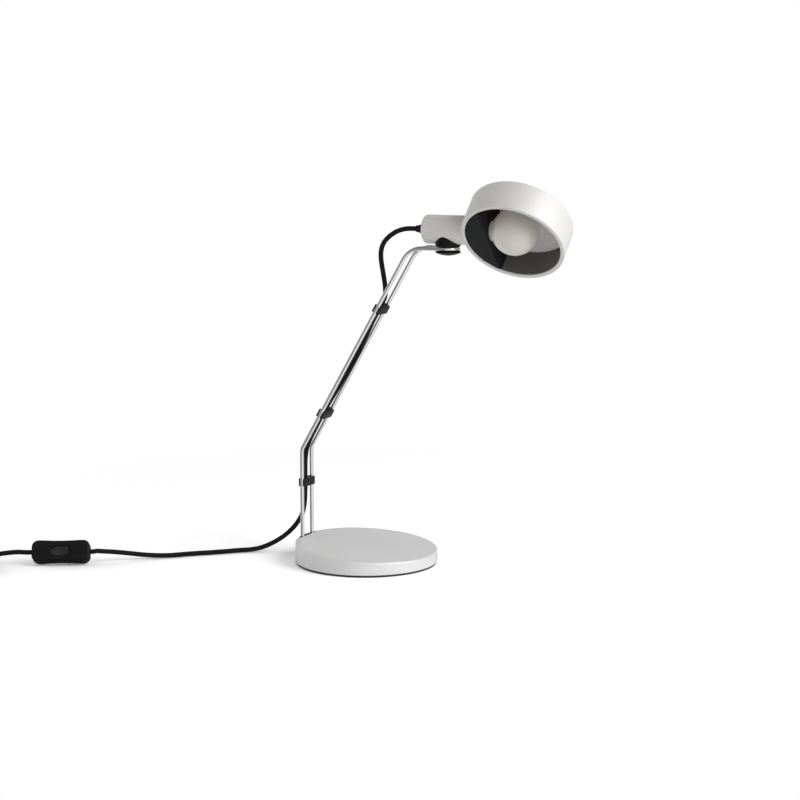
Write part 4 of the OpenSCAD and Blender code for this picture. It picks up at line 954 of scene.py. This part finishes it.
def makePlugBody():
    sleeve, neck, shoulder, widest = valuesOf(plug, "sleeve neck shoulder body")
    bpy.ops.mesh.primitive_plane_add(size=mm)
    body = bpy.context.object
    for vertex, (y, z) in zip(body.data.vertices, ((-1, -1), (1, -1), (-1, 1), (1, 1))):
        vertex.co = (sleeve * mm, y * neck[0] / 2 * mm, z * neck[1] / 2 * mm)
    pickPoints()
    for step, wide, thick in ((5, shoulder[0] / neck[0], shoulder[1] / neck[1]),
                              (19, widest[0] / shoulder[0], widest[1] / shoulder[1]), (8, 1, 1), (4, 0.94, 0.93)):
        bpy.ops.mesh.extrude_region_move(TRANSFORM_OT_translate={"value": (step * mm, 0, 0)})
        bpy.ops.transform.resize(value=(1, wide, thick), center_override=(0, 0, 0))
    sealMesh()
    bevelEdges(body, lambda ends: True, 4.4, 6)
    softenEdges(body, 0.8, 3, 20)
    for x in range(9, 22, 3):
        for side in (-1, 1):
            drill(body, 0.8, -9, 9, 16, shiftBy(sleeve + x, side * (14.1 + 0.19 * x), 0))
    ribs = [(0, 0), (cordR + 0.7, 0, 0.2)]
    for x in range(2, 18, 3):
        r = cordR + 0.7 + 1.2 * x / sleeve
        ribs += [(r, x, 0.1), (r - 0.5, x + 0.4, 0.1), (r - 0.45, x + 1.4, 0.1), (r + 0.1, x + 1.8, 0.1)]
    collar = turnPiece(softProfile(ribs + [(cordR + 1.9, sleeve + 0.5), (0, sleeve + 0.5)], 2), 40)
    placeAt(collar, alongX)
    joinShape(body, collar, "UNION")
    pickOnly(body)
    pickPoints()
    bpy.ops.mesh.remove_doubles(threshold=0.02 * mm)
    bpy.ops.mesh.fill_holes(sides=0)
    sealMesh()
    return finishPiece(body, "plugBody", "stand", "plugRubber", "plug_body", degrees=35, at=plugPlace)


def makePlugPins():
    start, r = plug["sleeve"] + plug["length"], plug["pin"] / 2
    end, collarEnd = start + plug["pinLength"], start + plug["collar"]
    pins = []
    for side in (-1, 1):
        pins.append(turnPiece(softProfile([(0, start), (r - 0.1, start), (r - 0.1, collarEnd, 0.1),
                                           (r, collarEnd + 0.1, 0.1), (r, end, 0.8), (0, end)], 4), 32))
        placeAt(pins[-1], plugPlace @ shiftBy(0, side * plug["pinGap"] / 2, 0) @ alongX)
    pickOnly(*pins)
    bpy.ops.object.join()
    pins = finishPiece(pins[0], "plugPins", "stand", "nickelPlate", "plug_pins", degrees=40)
    pins.data.materials.append(finish["plugRubber"])
    for face in pins.data.polygons:
        if (face.center - plugAt * mm).dot(plugAlong) < (collarEnd + 0.05) * mm:
            face.material_index = 1
    return pins


plugBody, plugPins = makePlugBody(), makePlugPins()
print("plug made")


# the CAD pieces that stay as they are, by finish

keptPieces = {
    "zincSteel": ("foot_plate", "plate_screws", "clamp_stud", "rocker_pin", "switch_screws"),
    "turnedBrass": ("knob_insert", "gland_nut", "holder_terminals", "thread_shell", "holder_contact",
                    "switch_contacts"),
    "pivotPlastic": ("washer_upper", "washer_lower"), "castAluminium": ("clamp_block", "holder_adaptor"),
    "socketPlastic": ("holder_body", "holder_nut", "bulb_tip"), "leadSleeve": ("holder_leads",),
    "nickelPlate": ("bulb_cap",), "strap": ("coil_tie",),
}
for look, nodeNames in keptPieces.items():
    for nodeName in nodeNames:
        for materialSlot in cadNodes[nodeName].material_slots:
            materialSlot.material = finish[look]
print("kept pieces finished:", sum(map(len, keptPieces.values())))


# floor, world and lamps

studio = {"floorColour": 0.97, "floorForCamera": 1.22, "whiteFrom": (0.3, 0.8), "floorSize": 14,
          "floorHeight": -0.0002, "horizon": 1, "overhead": 0.30, "mirrorLevel": 0.84,
          "darkSides": ({"toward": (-0.6, -0.8, 0), "level": 0.35, "span": (0.42, 0.9)},
                        {"toward": (0.6, 0.8, 0), "level": 0.5, "span": (0.6, 0.95)}),
          "key": {"at": (1.65, -0.15, 1.15), "size": 1.6, "power": 32, "mirrored": True},
          "fill": {"at": (-1.8, -0.53, 0.6), "size": 1.4, "power": 10.5, "mirrored": False},
          "aim": (0.03, 0, 0.15)}


def roomLevel(tree, ray, direction):
    # 1 for most rays; what a bright rod mirrors is dimmer, and darker still on two sides of the room
    level = studio["mirrorLevel"]
    for side in studio["darkSides"]:
        toward = addNode(tree, "VectorMath", {0: direction, 1: side["toward"]}, operation="DOT_PRODUCT")
        shadow = spread(tree, toward.outputs["Value"], 1, side["level"], *side["span"])
        level = sums(tree, "MULTIPLY", level, shadow)
    return sums(tree, "MULTIPLY_ADD", ray["Is Glossy Ray"], sums(tree, "SUBTRACT", level, 1), 1)


def makeFloor():
    # pale paper, turning to plain white away from the lamp for the rays that see it
    bpy.ops.mesh.primitive_plane_add(size=studio["floorSize"], location=(0, 0, studio["floorHeight"]))
    floor = bpy.context.object
    floor.name = "studioFloor"
    material, tree, shader, place = newMaterial("paleFloor")
    tree.nodes.remove(shader)
    ray = addNode(tree, "LightPath").outputs
    seen = sums(tree, "MAXIMUM", ray["Is Camera Ray"],
                sums(tree, "MAXIMUM", ray["Is Glossy Ray"], ray["Is Transmission Ray"]))
    distance = addNode(tree, "VectorMath", {0: place}, operation="LENGTH").outputs["Value"]
    direction = addNode(tree, "VectorMath", {0: place}, operation="NORMALIZE").outputs["Vector"]
    level = roomLevel(tree, ray, direction)
    plain, shown = studio["floorColour"], studio["floorForCamera"]
    seenColour = addNode(tree, "VectorMath", {0: (shown,) * 3, "Scale": level}, operation="SCALE")
    colour = colourMix(tree, seen, (plain, plain, plain, 1), seenColour.outputs["Vector"])
    paper = addNode(tree, "BsdfDiffuse", {"Color": colour})
    white = addNode(tree, "Emission", {"Color": (1, 1, 1, 1), "Strength": level})
    far = sums(tree, "MULTIPLY", spread(tree, distance, 0, 1, *studio["whiteFrom"]), seen)
    mixed = addNode(tree, "MixShader", {0: far, 1: paper.outputs["BSDF"], 2: white.outputs["Emission"]})
    feed(tree, tree.nodes["Material Output"], {"Surface": mixed.outputs["Shader"]})
    floor.data.materials.append(material)


def makeWorld():
    # bright towards the horizon and dimmer overhead; plain white for the camera
    world = bpy.data.worlds.new("studioWorld")
    bpy.context.scene.world = world
    world.use_nodes = True
    tree = world.node_tree
    tree.nodes.clear()
    ray = addNode(tree, "LightPath").outputs
    seen = sums(tree, "MAXIMUM", ray["Is Camera Ray"], ray["Is Transmission Ray"])
    direction = addNode(tree, "TexCoord").outputs["Generated"]
    height = addNode(tree, "SeparateXYZ", {"Vector": direction}).outputs["Z"]
    sky = spread(tree, height, studio["horizon"], studio["overhead"], 0.15, 0.8)
    strength = sums(tree, "MULTIPLY", sky, roomLevel(tree, ray, direction))
    room = addNode(tree, "Background", {"Color": (1, 1, 1, 1), "Strength": strength})
    white = addNode(tree, "Background", {"Color": (1, 1, 1, 1), "Strength": 1})
    both = addNode(tree, "MixShader", {0: seen, 1: room.outputs[0], 2: white.outputs[0]})
    addNode(tree, "OutputWorld", {"Surface": both.outputs[0]})


def makeLamps():
    for name in ("key", "fill"):
        setup = studio[name]
        bpy.ops.object.light_add(type="AREA", location=setup["at"])
        lamp = bpy.context.object
        lamp.name = name + "Lamp"
        lamp.data.shape = "DISK"
        lamp.data.size = setup["size"]
        lamp.data.energy = setup["power"]
        lamp.visible_glossy = setup["mirrored"]
        aim = Vector(studio["aim"]) - Vector(setup["at"])
        lamp.rotation_euler = aim.to_track_quat("-Z", "Y").to_euler()


makeFloor()
makeWorld()
makeLamps()
bpy.context.scene.view_settings.view_transform = "Standard"
print("studio made")

bpy.context.view_layer.update()
